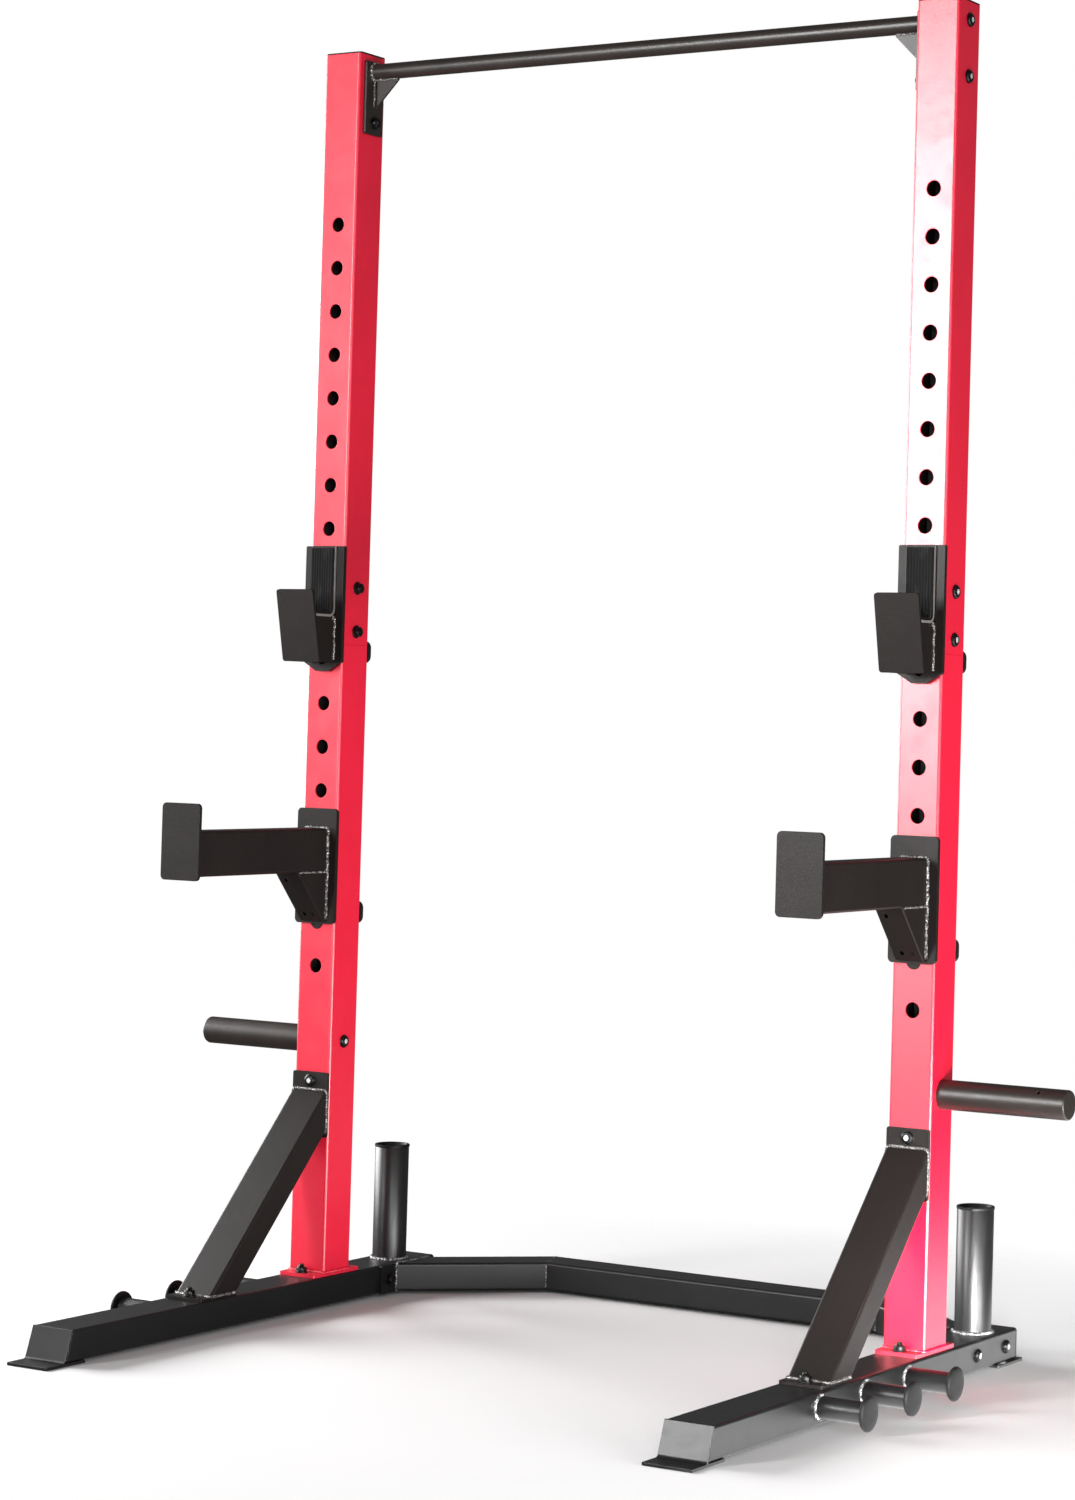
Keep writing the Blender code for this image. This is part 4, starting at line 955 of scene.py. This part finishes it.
def diagonal_braces():
    face_y = UPRIGHT_FRONT_Y - GAP
    flange_y = face_y - BRACE_FLANGE
    foot_z = RAIL_TOP_Z + GAP
    deck_z = foot_z + BRACE_FLANGE
    run = Vector((0.0, -math.cos(BRACE_ANGLE), -math.sin(BRACE_ANGLE)))
    top = Vector((0.0, flange_y, BRACE_TOP_Z - BRACE_DEPTH / 2 / math.cos(BRACE_ANGLE)))
    start = top - run * (OVERLAP / math.cos(BRACE_ANGLE))
    end = top + run * ((top.z - deck_z + OVERLAP) / math.sin(BRACE_ANGLE))
    tube = swept_tube(UPRIGHT_SIZE, BRACE_DEPTH, (start, end), (0, 0, 1), ((0, 1, 0), (0, 0, 1)))

    half_drop = BRACE_DEPTH / 2 / math.cos(BRACE_ANGLE)
    half_print = BRACE_DEPTH / 2 / math.sin(BRACE_ANGLE)
    back_y = end.y + half_print + 0.002
    flange = (UPRIGHT_SIZE, BRACE_FLANGE_Z[1] - BRACE_FLANGE_Z[0])
    foot = (UPRIGHT_SIZE, back_y - BRACE_FOOT_FRONT_Y)
    parts = [
        tube,
        panel(flange, 0.004, (0.0, sum(BRACE_FLANGE_Z) / 2), "Y", flange_y, face_y),
        panel(foot, 0.004, (0.0, (back_y + BRACE_FOOT_FRONT_Y) / 2), "Z", foot_z, deck_z),
    ]
    holes = [
        drill("Y", 0.0, BRACE_BOLT_Z, flange_y - 0.001, face_y + 0.002),
        drill("Z", 0.0, BRACE_FOOT_BOLT_Y, foot_z - 0.002, deck_z + 0.001),
    ]
    pair("brace", welded(parts, [merged(holes)]), BROWN, ON_RAIL, nodes=["diagonal_brace_{}"], edge=0.0004)

    radius = 0.0024
    rings = []
    joints = ((half_drop, top.z, "Y", flange_y - 0.0004), (half_print, end.y, "Z", deck_z + 0.0004))
    for half, middle, axis, level in joints:
        outline = rounded_rectangle(UPRIGHT_SIZE - 0.001, 2 * half, TUBE_RADIUS + radius * 0.3)
        rings.append(ring_bead(shifted(outline, 0.0, middle), axis, level, radius))
    pair("brace_welds", merged(rings), BROWN_WELD, ON_RAIL, edge=0)


# ---------------------------------------------------------------- J-hooks and spotter arms
def pin_and_stub():
    front = -GAP - OVERLAP
    pin = prism(circle(PIN_RADIUS, HOLE_STEPS), "Y", front, PIN_END_Y)
    stub = prism(shifted(circle(PIN_RADIUS, HOLE_STEPS), 0.0, STUB_Z), "Y", front, STUB_LENGTH)
    return [pin, stub]


def pin_bore(front):
    return prism(circle(PIN_BORE_RADIUS, HOLE_STEPS), "Y", front, PIN_END_Y + 0.001)


def j_line(inset, lip_top_z, steps=10):
    """Line of the J strip, inset from the strip's upper face: down the back, round the seat, up the lip."""
    back_y = -ARM_PLATE - GAP - HOOK_STRIP - inset
    seat_z = HOOK_SEAT_Z + inset
    radius = HOOK_BEND_RADIUS - inset
    lean = math.atan(HOOK_LIP_LEAN)

    def lip_back_y(z):
        lip_face = HOOK_LIP_BOTTOM_Y - (z - HOOK_LIP_Z[0]) * HOOK_LIP_LEAN
        return lip_face + (2 * HOOK_STRIP - OVERLAP + inset) / math.cos(lean)

    front_z = seat_z + radius
    front_y = lip_back_y(front_z) + radius / math.cos(lean)
    back_centre_y = back_y - radius
    points = [(back_y, HOOK_TOP_Z - (0.004 if inset > 0 else 0.0))]
    for step in range(steps + 1):
        angle = -math.pi / 2 * step / steps
        points.append((back_centre_y + radius * math.cos(angle), front_z + radius * math.sin(angle)))
    sweep = math.pi / 2 - lean
    for step in range(steps + 1):
        angle = -math.pi / 2 - sweep * step / steps
        points.append((front_y + radius * math.cos(angle), front_z + radius * math.sin(angle)))
    points.append((lip_back_y(lip_top_z), lip_top_z))
    return points


def j_solid(section, lip_top_z):
    """Carry a cross-section of (x, inset) points along the J line."""
    lines = [j_line(inset, lip_top_z) for _, inset in section]
    rings = []
    for k in range(len(lines[0])):
        rings.append([(x, line[k][0], line[k][1]) for (x, _), line in zip(section, lines)])
    return loft(rings)


def liner_section():
    """Flat underside and a ribbed top."""
    half = LINER_HALF_WIDTH
    pitch = 2 * half / LINER_RIBS
    top = GAP + LINER_BASE
    points = [(half, GAP), (-half, GAP)]
    for rib in range(LINER_RIBS):
        x = -half + rib * pitch
        rise = top + LINER_RIB
        points += [(x + 0.08 * pitch, top), (x + 0.24 * pitch, rise)]
        points += [(x + 0.66 * pitch, rise), (x + 0.82 * pitch, top)]
    return points


def hook_welds(plate_front):
    """Beads beside the box, under the seat and behind the lip, on both sides of the hook."""
    y = plate_front - 0.0004
    seat_z = HOOK_SEAT_Z - HOOK_STRIP - 0.001
    welds = []
    for side in (-1, 1):
        x = side * (HOOK_STRIP_HALF_WIDTH + 0.0002)
        welds.append(seam((x, y, HOOK_LIP_Z[0] + 0.004), (x, y, HOOK_SEAT_Z - 0.006), 0.0022, (0, 1, 0)))
        welds.append(seam((x, y - 0.006, seat_z), (x, y - 0.001, seat_z), 0.0030, (1, 0, 0)))
        ends = []
        for z in (HOOK_LIP_Z[0] + 0.006, HOOK_SEAT_Z - 0.010):
            ends.append((x, HOOK_LIP_BOTTOM_Y - (z - HOOK_LIP_Z[0]) * HOOK_LIP_LEAN + HOOK_STRIP + 0.0006, z))
        welds.append(seam(*ends, 0.0020, (1, 0, 0)))
    return merged(welds)


def j_hooks():
    plate_front = -ARM_PLATE - GAP
    half = HOOK_PLATE_HALF_WIDTH
    plate = rounded_outline([
        (-half, HOOK_TOP_Z),
        (-half, -0.004),
        (-0.013, -0.0205),
        (0.013, -0.0205),
        (half, -0.004),
        (half, HOOK_TOP_Z),
    ], 0.0025)
    strip_half = HOOK_STRIP_HALF_WIDTH
    strip = [(strip_half, 0.0), (-strip_half, 0.0), (-strip_half, -HOOK_STRIP), (strip_half, -HOOK_STRIP)]
    rise = HOOK_LIP_Z[1] - HOOK_LIP_Z[0]
    lip_outline = rounded_rectangle(2 * HOOK_LIP_HALF_WIDTH, rise * math.sqrt(1 + HOOK_LIP_LEAN ** 2), 0.005)
    lip = prism(lip_outline, "Y", 0.0, HOOK_STRIP)
    lip.transform(Matrix.Rotation(math.atan(HOOK_LIP_LEAN), 4, "X"))
    lip_middle = HOOK_LIP_BOTTOM_Y - rise / 2 * HOOK_LIP_LEAN
    lip.transform(Matrix.Translation((0.0, lip_middle, sum(HOOK_LIP_Z) / 2)))

    # the box under the seat
    depth = plate_front + OVERLAP - (HOOK_LIP_BOTTOM_Y + 0.003)
    centre_y = plate_front + OVERLAP - depth / 2
    heights = (HOOK_LIP_Z[0], HOOK_SEAT_Z - HOOK_STRIP + 0.001)
    shells = []
    for inset, radius in ((0.0, TUBE_RADIUS), (WALL, TUBE_RADIUS - WALL / 2)):
        outline = rounded_rectangle(2 * (strip_half - inset), depth - 2 * inset, radius)
        shells.append([placed(shifted(outline, 0.0, centre_y), "Z", z) for z in heights])
    parts = [
        prism(plate, "Y", plate_front, -GAP),
        j_solid(strip, HOOK_LIP_Z[1] - 0.008),
        lip,
        hollow_loft(*shells),
    ] + pin_and_stub()
    hook = welded(parts, [pin_bore(plate_front - 0.005)])
    place = (UPRIGHT_X, UPRIGHT_FRONT_Y, hole_z(HOOK_HOLE))
    pair("hook", hook, BROWN, place, "hook_{}", ["j_hook_{}"], edge=0.0004)

    liner = j_solid(liner_section(), HOOK_LIP_Z[1] - 0.012)
    pair("hook_liner", liner, RUBBER, place, "hook_{}", ["j_hook_liner_{}"], edge=0)

    # the strip's sheared edges, where the paint is worn through
    trims = []
    for side in (-1, 1):
        out = side * (strip_half + 0.0003)
        deep = side * (strip_half - 0.0006)
        edge = [(out, -0.0003), (deep, -0.0001), (deep, -HOOK_STRIP + 0.0004), (out, -HOOK_STRIP + 0.0006)]
        trims.append(j_solid(edge, HOOK_LIP_Z[1] - 0.012))
    pair("hook_strip_edge", merged(trims), BARE_EDGE, place, "hook_{}", edge=0)
    pair("hook_welds", hook_welds(plate_front), BROWN_WELD, place, "hook_{}", edge=0)
    keepers("hook", "j_hook_keeper_{}", "hook_keeper_{}", place)


def keepers(name, node, body, place):
    """Plate behind the upright with a lug around the pin."""
    front = UPRIGHT_SIZE + GAP
    back = front + KEEPER_THICKNESS
    size = (KEEPER_WIDTH, KEEPER_Z[1] - KEEPER_Z[0])
    parts = [
        panel(size, KEEPER_CORNER, (0.0, sum(KEEPER_Z) / 2), "Y", front, back),
        prism(circle(KEEPER_LUG_RADIUS, ROUND_STEPS), "Y", front, back),
    ]
    hole = prism(circle(HOLE_RADIUS, HOLE_STEPS), "Y", front - 0.002, back + 0.002)
    pair(f"{name}_keeper_plate", welded(parts, [hole]), BROWN, place, body, [node], edge=0.0008)


def folded_outline(half, front, back, fold=0.003, steps=5):
    """Rectangle open to +Y whose two front corners are rounded by the fold."""
    turns = [math.pi / 2 * k / steps for k in range(steps + 1)]
    arc = [(half - fold + fold * math.sin(t), front + fold - fold * math.cos(t)) for t in turns]
    return [(-half, back)] + [(-a, b) for a, b in arc[::-1]] + arc + [(half, back)]


def spotter_arms():
    plate_front = -ARM_PLATE - GAP
    arm_back = plate_front + OVERLAP
    arm_size = (SPOTTER_ARM_WIDTH, SPOTTER_ARM_Z[1] - SPOTTER_ARM_Z[0])
    arm_half = SPOTTER_ARM_WIDTH / 2
    arm_z = sum(SPOTTER_ARM_Z) / 2
    end_back = -SPOTTER_REACH + PLATE
    foot_z = SPOTTER_GUSSET_FOOT_Z
    run = SPOTTER_GUSSET_RUN
    under = SPOTTER_ARM_Z[0] + OVERLAP

    # the folded gusset: a U-shaped section that tapers from the arm's underside to the plate
    shells = []
    for inset, past in ((0.0, 0.0), (WALL, OVERLAP)):
        rings = []
        for z, front in ((under + past, -run), (foot_z - past, plate_front - 0.007)):
            outline = folded_outline(arm_half - inset, front + inset, arm_back + past)
            rings.append(placed(outline, "Z", z))
        shells.append(loft(rings))
    gusset = combined(shells[0], shells[1:], "DIFFERENCE")

    plates = []
    for half, height, start, end in (
        (SPOTTER_PLATE_HALF_WIDTH, SPOTTER_PLATE_Z, plate_front, -GAP),
        (SPOTTER_END_PLATE_HALF_WIDTH, SPOTTER_END_PLATE_Z, -SPOTTER_REACH, end_back),
    ):
        size = (2 * half, height[1] - height[0])
        plates.append(panel(size, 0.008, (0.0, sum(height) / 2), "Y", start, end))
    path = ((0.0, arm_back, arm_z), (0.0, end_back - OVERLAP, arm_z))
    arm = swept_tube(*arm_size, path, (0, 0, 1), ((0, 1, 0), (0, 1, 0)))
    drain_z = foot_z + 0.012
    drains = [
        prism(shifted(circle(DRAIN_RADIUS, 20), x, z), "Y", -run - 0.01, plate_front - 0.0005)
        for x, z in ((-0.008, drain_z), (0.010, drain_z), (-0.010, SPOTTER_ARM_Z[0] - 0.014))
    ]
    body = welded([welded(plates + [gusset]), arm] + pin_and_stub())
    body = welded([body], [merged(drains), pin_bore(-GAP)])
    place = (UPRIGHT_X, UPRIGHT_FRONT_Y, hole_z(SPOTTER_HOLE))
    pair("spotter", body, BROWN, place, "spotter_{}", ["spotter_arm_{}"], edge=0.0004)

    y = plate_front - 0.0006
    ring = shifted(rounded_rectangle(*arm_size, TUBE_RADIUS), 0.0, arm_z)
    welds = [ring_bead(ring, "Y", y, 0.0032), ring_bead(ring, "Y", end_back + 0.0005, 0.0026)]
    fold_z = SPOTTER_ARM_Z[0] + 0.0004
    for side in (-1, 1):
        x = side * (arm_half + 0.0002)
        welds.append(seam((x, y, SPOTTER_ARM_Z[0] + 0.002), (x, y, foot_z + 0.004), 0.0030, (0, 1, 0)))
        welds.append(seam((x, y - 0.004, fold_z), (x, -run + 0.004, fold_z), 0.0018, (1, 0, 0)))
    pair("spotter_welds", merged(welds), BROWN_WELD, place, "spotter_{}", edge=0)
    keepers("spotter", "spotter_keeper_{}", "spotter_keeper_body_{}", place)


# ---------------------------------------------------------------- fasteners
def hexagon_prism(radius, start, end):
    return prism(circle(radius, 6, 0.0), "X", start, end)


def button_head():
    """Domed head with a hexagon socket, on the -X side of x = 0, with its washer."""
    steps = 7
    profile = [(-WASHER, BUTTON_RADIUS)]
    for step in range(steps + 1):
        t = math.pi / 2 * step / steps
        x = -WASHER - 0.0010 - (BUTTON_HEIGHT - WASHER - 0.0010) * math.sin(t)
        profile.append((x, BUTTON_RADIUS * (0.50 + 0.50 * math.cos(t))))
    dome = turned(profile, 48)
    socket_glint = hexagon_prism(SOCKET_RADIUS, -BUTTON_HEIGHT - 0.001, -WASHER - 0.0008)
    return combined(dome, [socket_glint], "DIFFERENCE")


def washer():
    """On the -X side of x = 0."""
    return turned((
        (-GAP / 2, BOLT_RADIUS + 0.0002),
        (-GAP / 2, WASHER_RADIUS - 0.0003),
        (-GAP, WASHER_RADIUS),
        (-WASHER + 0.0004, WASHER_RADIUS),
        (-WASHER, WASHER_RADIUS - 0.0005),
        (-WASHER, BOLT_RADIUS + 0.0002),
    ), 48, closed=True)


def nut():
    """Chamfered hexagon nut on the +X side of x = 0, before it is threaded on its bolt."""
    blank = hexagon_prism(NUT_RADIUS, WASHER, WASHER + NUT_HEIGHT)
    cone = turned((
        (WASHER - 0.001, NUT_RADIUS - 0.0006),
        (WASHER + 0.0014, NUT_RADIUS + 0.0002),
        (WASHER + NUT_HEIGHT - 0.0016, NUT_RADIUS + 0.0002),
        (WASHER + NUT_HEIGHT + 0.0004, NUT_RADIUS - 0.0016),
    ), 48)
    return combined(blank, [cone], "INTERSECT")


def thread(start, end):
    """Threaded shank as rolled rings with a chamfered tip."""
    pitch = 0.0015
    depth = 0.0006
    profile = [(start, BOLT_RADIUS - depth)]
    x = start + 0.0002
    while x < end - pitch - 0.001:
        profile += [(x, BOLT_RADIUS - depth), (x + pitch / 2, BOLT_RADIUS)]
        x += pitch
    profile += [(x, BOLT_RADIUS - depth), (end - 0.0004, BOLT_RADIUS - 0.0009), (end, BOLT_RADIUS - 0.0018)]
    return turned(profile, 32)


def bolt(grip, spare):
    """Bolt along +X: button head and washer before x = 0, nut and washer after the grip, if there is one."""
    shank = turned(((-WASHER - 0.0012, BOLT_RADIUS - 0.0003), (grip - 0.001, BOLT_RADIUS - 0.0003)), 24)
    parts = [button_head(), washer(), shank]
    if spare:
        back = moved(washer(), (grip, 0.0, 0.0), (180.0, "Z"))
        parts += [back, moved(nut(), (grip, 0.0, 0.0)), thread(grip - 0.002, grip + spare)]
    return merged(parts)


def stud_and_nut():
    """Washer, nut and the end of a bolt that stand on a surface at x = 0, towards +X."""
    parts = [moved(washer(), turn=(180.0, "Z")), nut(), thread(-0.004, WASHER + NUT_HEIGHT + 0.0055)]
    return merged(parts)


def socket_shine():
    """Floor of a socket painted near-white: a painted glint."""
    return hexagon_prism(SOCKET_RADIUS - 0.0002, -BUTTON_HEIGHT + 0.0006, -WASHER - 0.0009)


def bolts():
    across = UPRIGHT_SIZE
    splice = bolt(across, BOLT_SPARE)
    bar = bolt(across + PLATE + GAP, BOLT_SPARE)
    base = bolt(RAIL_WIDTH + PLATE + GAP, BOLT_SPARE)
    outer_x = UPRIGHT_X + across / 2
    inner_x = UPRIGHT_X - across / 2
    rail_x = UPRIGHT_X + RAIL_WIDTH / 2
    screw = bolt(across + PLATE_PEG_ROOT + 0.004, 0.0)
    plans = [(f"splice_bolt_{n}", splice, (outer_x, UPRIGHT_CENTRE_Y, z), True) for n, z in SPLICE_BOLT_Z]
    plans += [(f"bar_bolt_{n}", bar, (outer_x, UPRIGHT_CENTRE_Y, z), True) for n, z in BAR_BOLT_Z]
    plans += [(f"crossbar_bolt_{n}", base, (rail_x, y, RAIL_CENTRE_Z), True) for n, y in CROSSBAR_BOLT_Y]
    plans.append(("plate_peg_bolt", screw, (inner_x, UPRIGHT_CENTRE_Y, PLATE_PEG_Z), False))
    # each bolt's socket floor is painted near-white as a glint
    shine = socket_shine()
    for name, mesh, (x, y, z), inward in plans:
        for side, sign in SIDES:
            turn = math.pi if (sign > 0) == inward else 0.0
            place = (sign * x, y, z)
            nodes = [f"{name}_{side}"]
            piece(f"{name}_steel_{side}", mesh.copy(), STEEL, nodes=nodes, location=place, turn=turn, edge=0)
            piece(f"{name}_socket_{side}", shine.copy(), SOCKET_GLINT, location=place, turn=turn, edge=0)

    stud = moved(stud_and_nut(), turn=(-90.0, "Y"))
    plate_z = RAIL_TOP_Z + GAP + PLATE
    deck_z = RAIL_TOP_Z + GAP + BRACE_FLANGE
    front_y = UPRIGHT_FRONT_Y - BASE_PLATE_OVERHANG / 2 - 0.0005
    rear_y = UPRIGHT_FRONT_Y + across + BASE_PLATE_OVERHANG / 2 + 0.0005
    studs = (("base_bolt_front", front_y, plate_z), ("base_bolt_rear", rear_y, plate_z),
             ("brace_foot_bolt", BRACE_FOOT_BOLT_Y, deck_z))
    for name, y, z in studs:
        pair(name, stud, STEEL, (UPRIGHT_X, y, z), edge=0)

    place = (UPRIGHT_X, UPRIGHT_FRONT_Y - GAP - BRACE_FLANGE, BRACE_BOLT_Z)
    pair("brace_bolt", moved(merged([button_head(), washer()]), turn=(90.0, "Z")), STEEL, place, edge=0)
    # the brace bolt's socket floor is a painted glint
    pair("brace_bolt_socket_glint", moved(shine, turn=(90.0, "Z")), SOCKET_GLINT, place, edge=0)


# ---------------------------------------------------------------- studio
def camera():
    """The photograph's viewpoint: about a metre up, to the right of the open front, almost level."""
    place = (3.0414, -4.6433, 1.0441)
    yaw = 0.5268
    pitch = 0.0257
    roll = 0.0273
    ahead = Vector((-math.sin(yaw) * math.cos(pitch), math.cos(yaw) * math.cos(pitch), math.sin(pitch)))
    level = Vector((math.cos(yaw), math.sin(yaw), 0.0))
    upward = level.cross(ahead)
    right = math.cos(roll) * level + math.sin(roll) * upward
    up = math.cos(roll) * upward - math.sin(roll) * level
    turn = Matrix((right, up, -ahead)).transposed()
    data = bpy.data.cameras.new("camera")
    data.sensor_width = 36.0
    data.lens = 81.73
    data.shift_x = -0.14
    data.shift_y = -0.08
    data.clip_end = 200.0
    result = bpy.data.objects.new("camera", data)
    bpy.context.collection.objects.link(result)
    result.matrix_world = Matrix.Translation(place) @ turn.to_4x4()
    bpy.context.scene.camera = result


def floor():
    outline = rounded_rectangle(80.0, 80.0, 6.0, 12)
    mesh = mesh_from([(a, b, 0.0) for a, b in outline], [tuple(range(len(outline)))])
    result = bpy.data.objects.new("floor", mesh)
    bpy.context.collection.objects.link(result)
    result.location = (0.0, 0.0, -0.0002)
    mesh.materials.append(studio_floor("floor_sweep"))


def soft_light(name, location, target, size, power, spread=180.0):
    data = bpy.data.lights.new(name, "AREA")
    data.shape = "RECTANGLE"
    data.size, data.size_y = size
    data.energy = power
    data.spread = math.radians(spread)
    result = bpy.data.objects.new(name, data)
    bpy.context.collection.objects.link(result)
    result.location = location
    result.rotation_euler = (Vector(target) - Vector(location)).to_track_quat("-Z", "Y").to_euler()
    result.visible_camera = False


def room(tree, strength):
    """A white background of its own strength."""
    node = tree.nodes.new("ShaderNodeBackground")
    node.inputs["Color"].default_value = (1.0, 1.0, 1.0, 1.0)
    node.inputs["Strength"].default_value = strength
    return node.outputs["Background"]


def studio():
    """White room: the background reads white, while the surroundings that gloss picks up are greyer."""
    world = bpy.data.worlds.new("studio")
    bpy.context.scene.world = world
    world.use_nodes = True
    tree = world.node_tree
    path = tree.nodes.new("ShaderNodeLightPath")
    target = tree.nodes["World Output"].inputs["Surface"]
    for ray, strength in (("Is Camera Ray", 1.0), ("Is Glossy Ray", GLOSSY_ROOM)):
        mix = tree.nodes.new("ShaderNodeMixShader")
        tree.links.new(path.outputs[ray], mix.inputs["Fac"])
        tree.links.new(room(tree, strength), mix.inputs[2])
        tree.links.new(mix.outputs["Shader"], target)
        target = mix.inputs[1]
    tree.links.new(room(tree, DIFFUSE_ROOM), target)
    bpy.context.scene.view_settings.view_transform = "Standard"
    for light in LIGHTS:
        soft_light(*light)


def main():
    base_rails()
    front_feet()
    rear_feet()
    rail_end_caps()
    rear_crossbar()
    band_pegs()
    bar_storage_tubes()
    uprights()
    splice_sleeves()
    upright_caps()
    pull_up_bar()
    plate_pegs()
    diagonal_braces()
    j_hooks()
    spotter_arms()
    bolts()
    camera()
    floor()
    studio()


main()
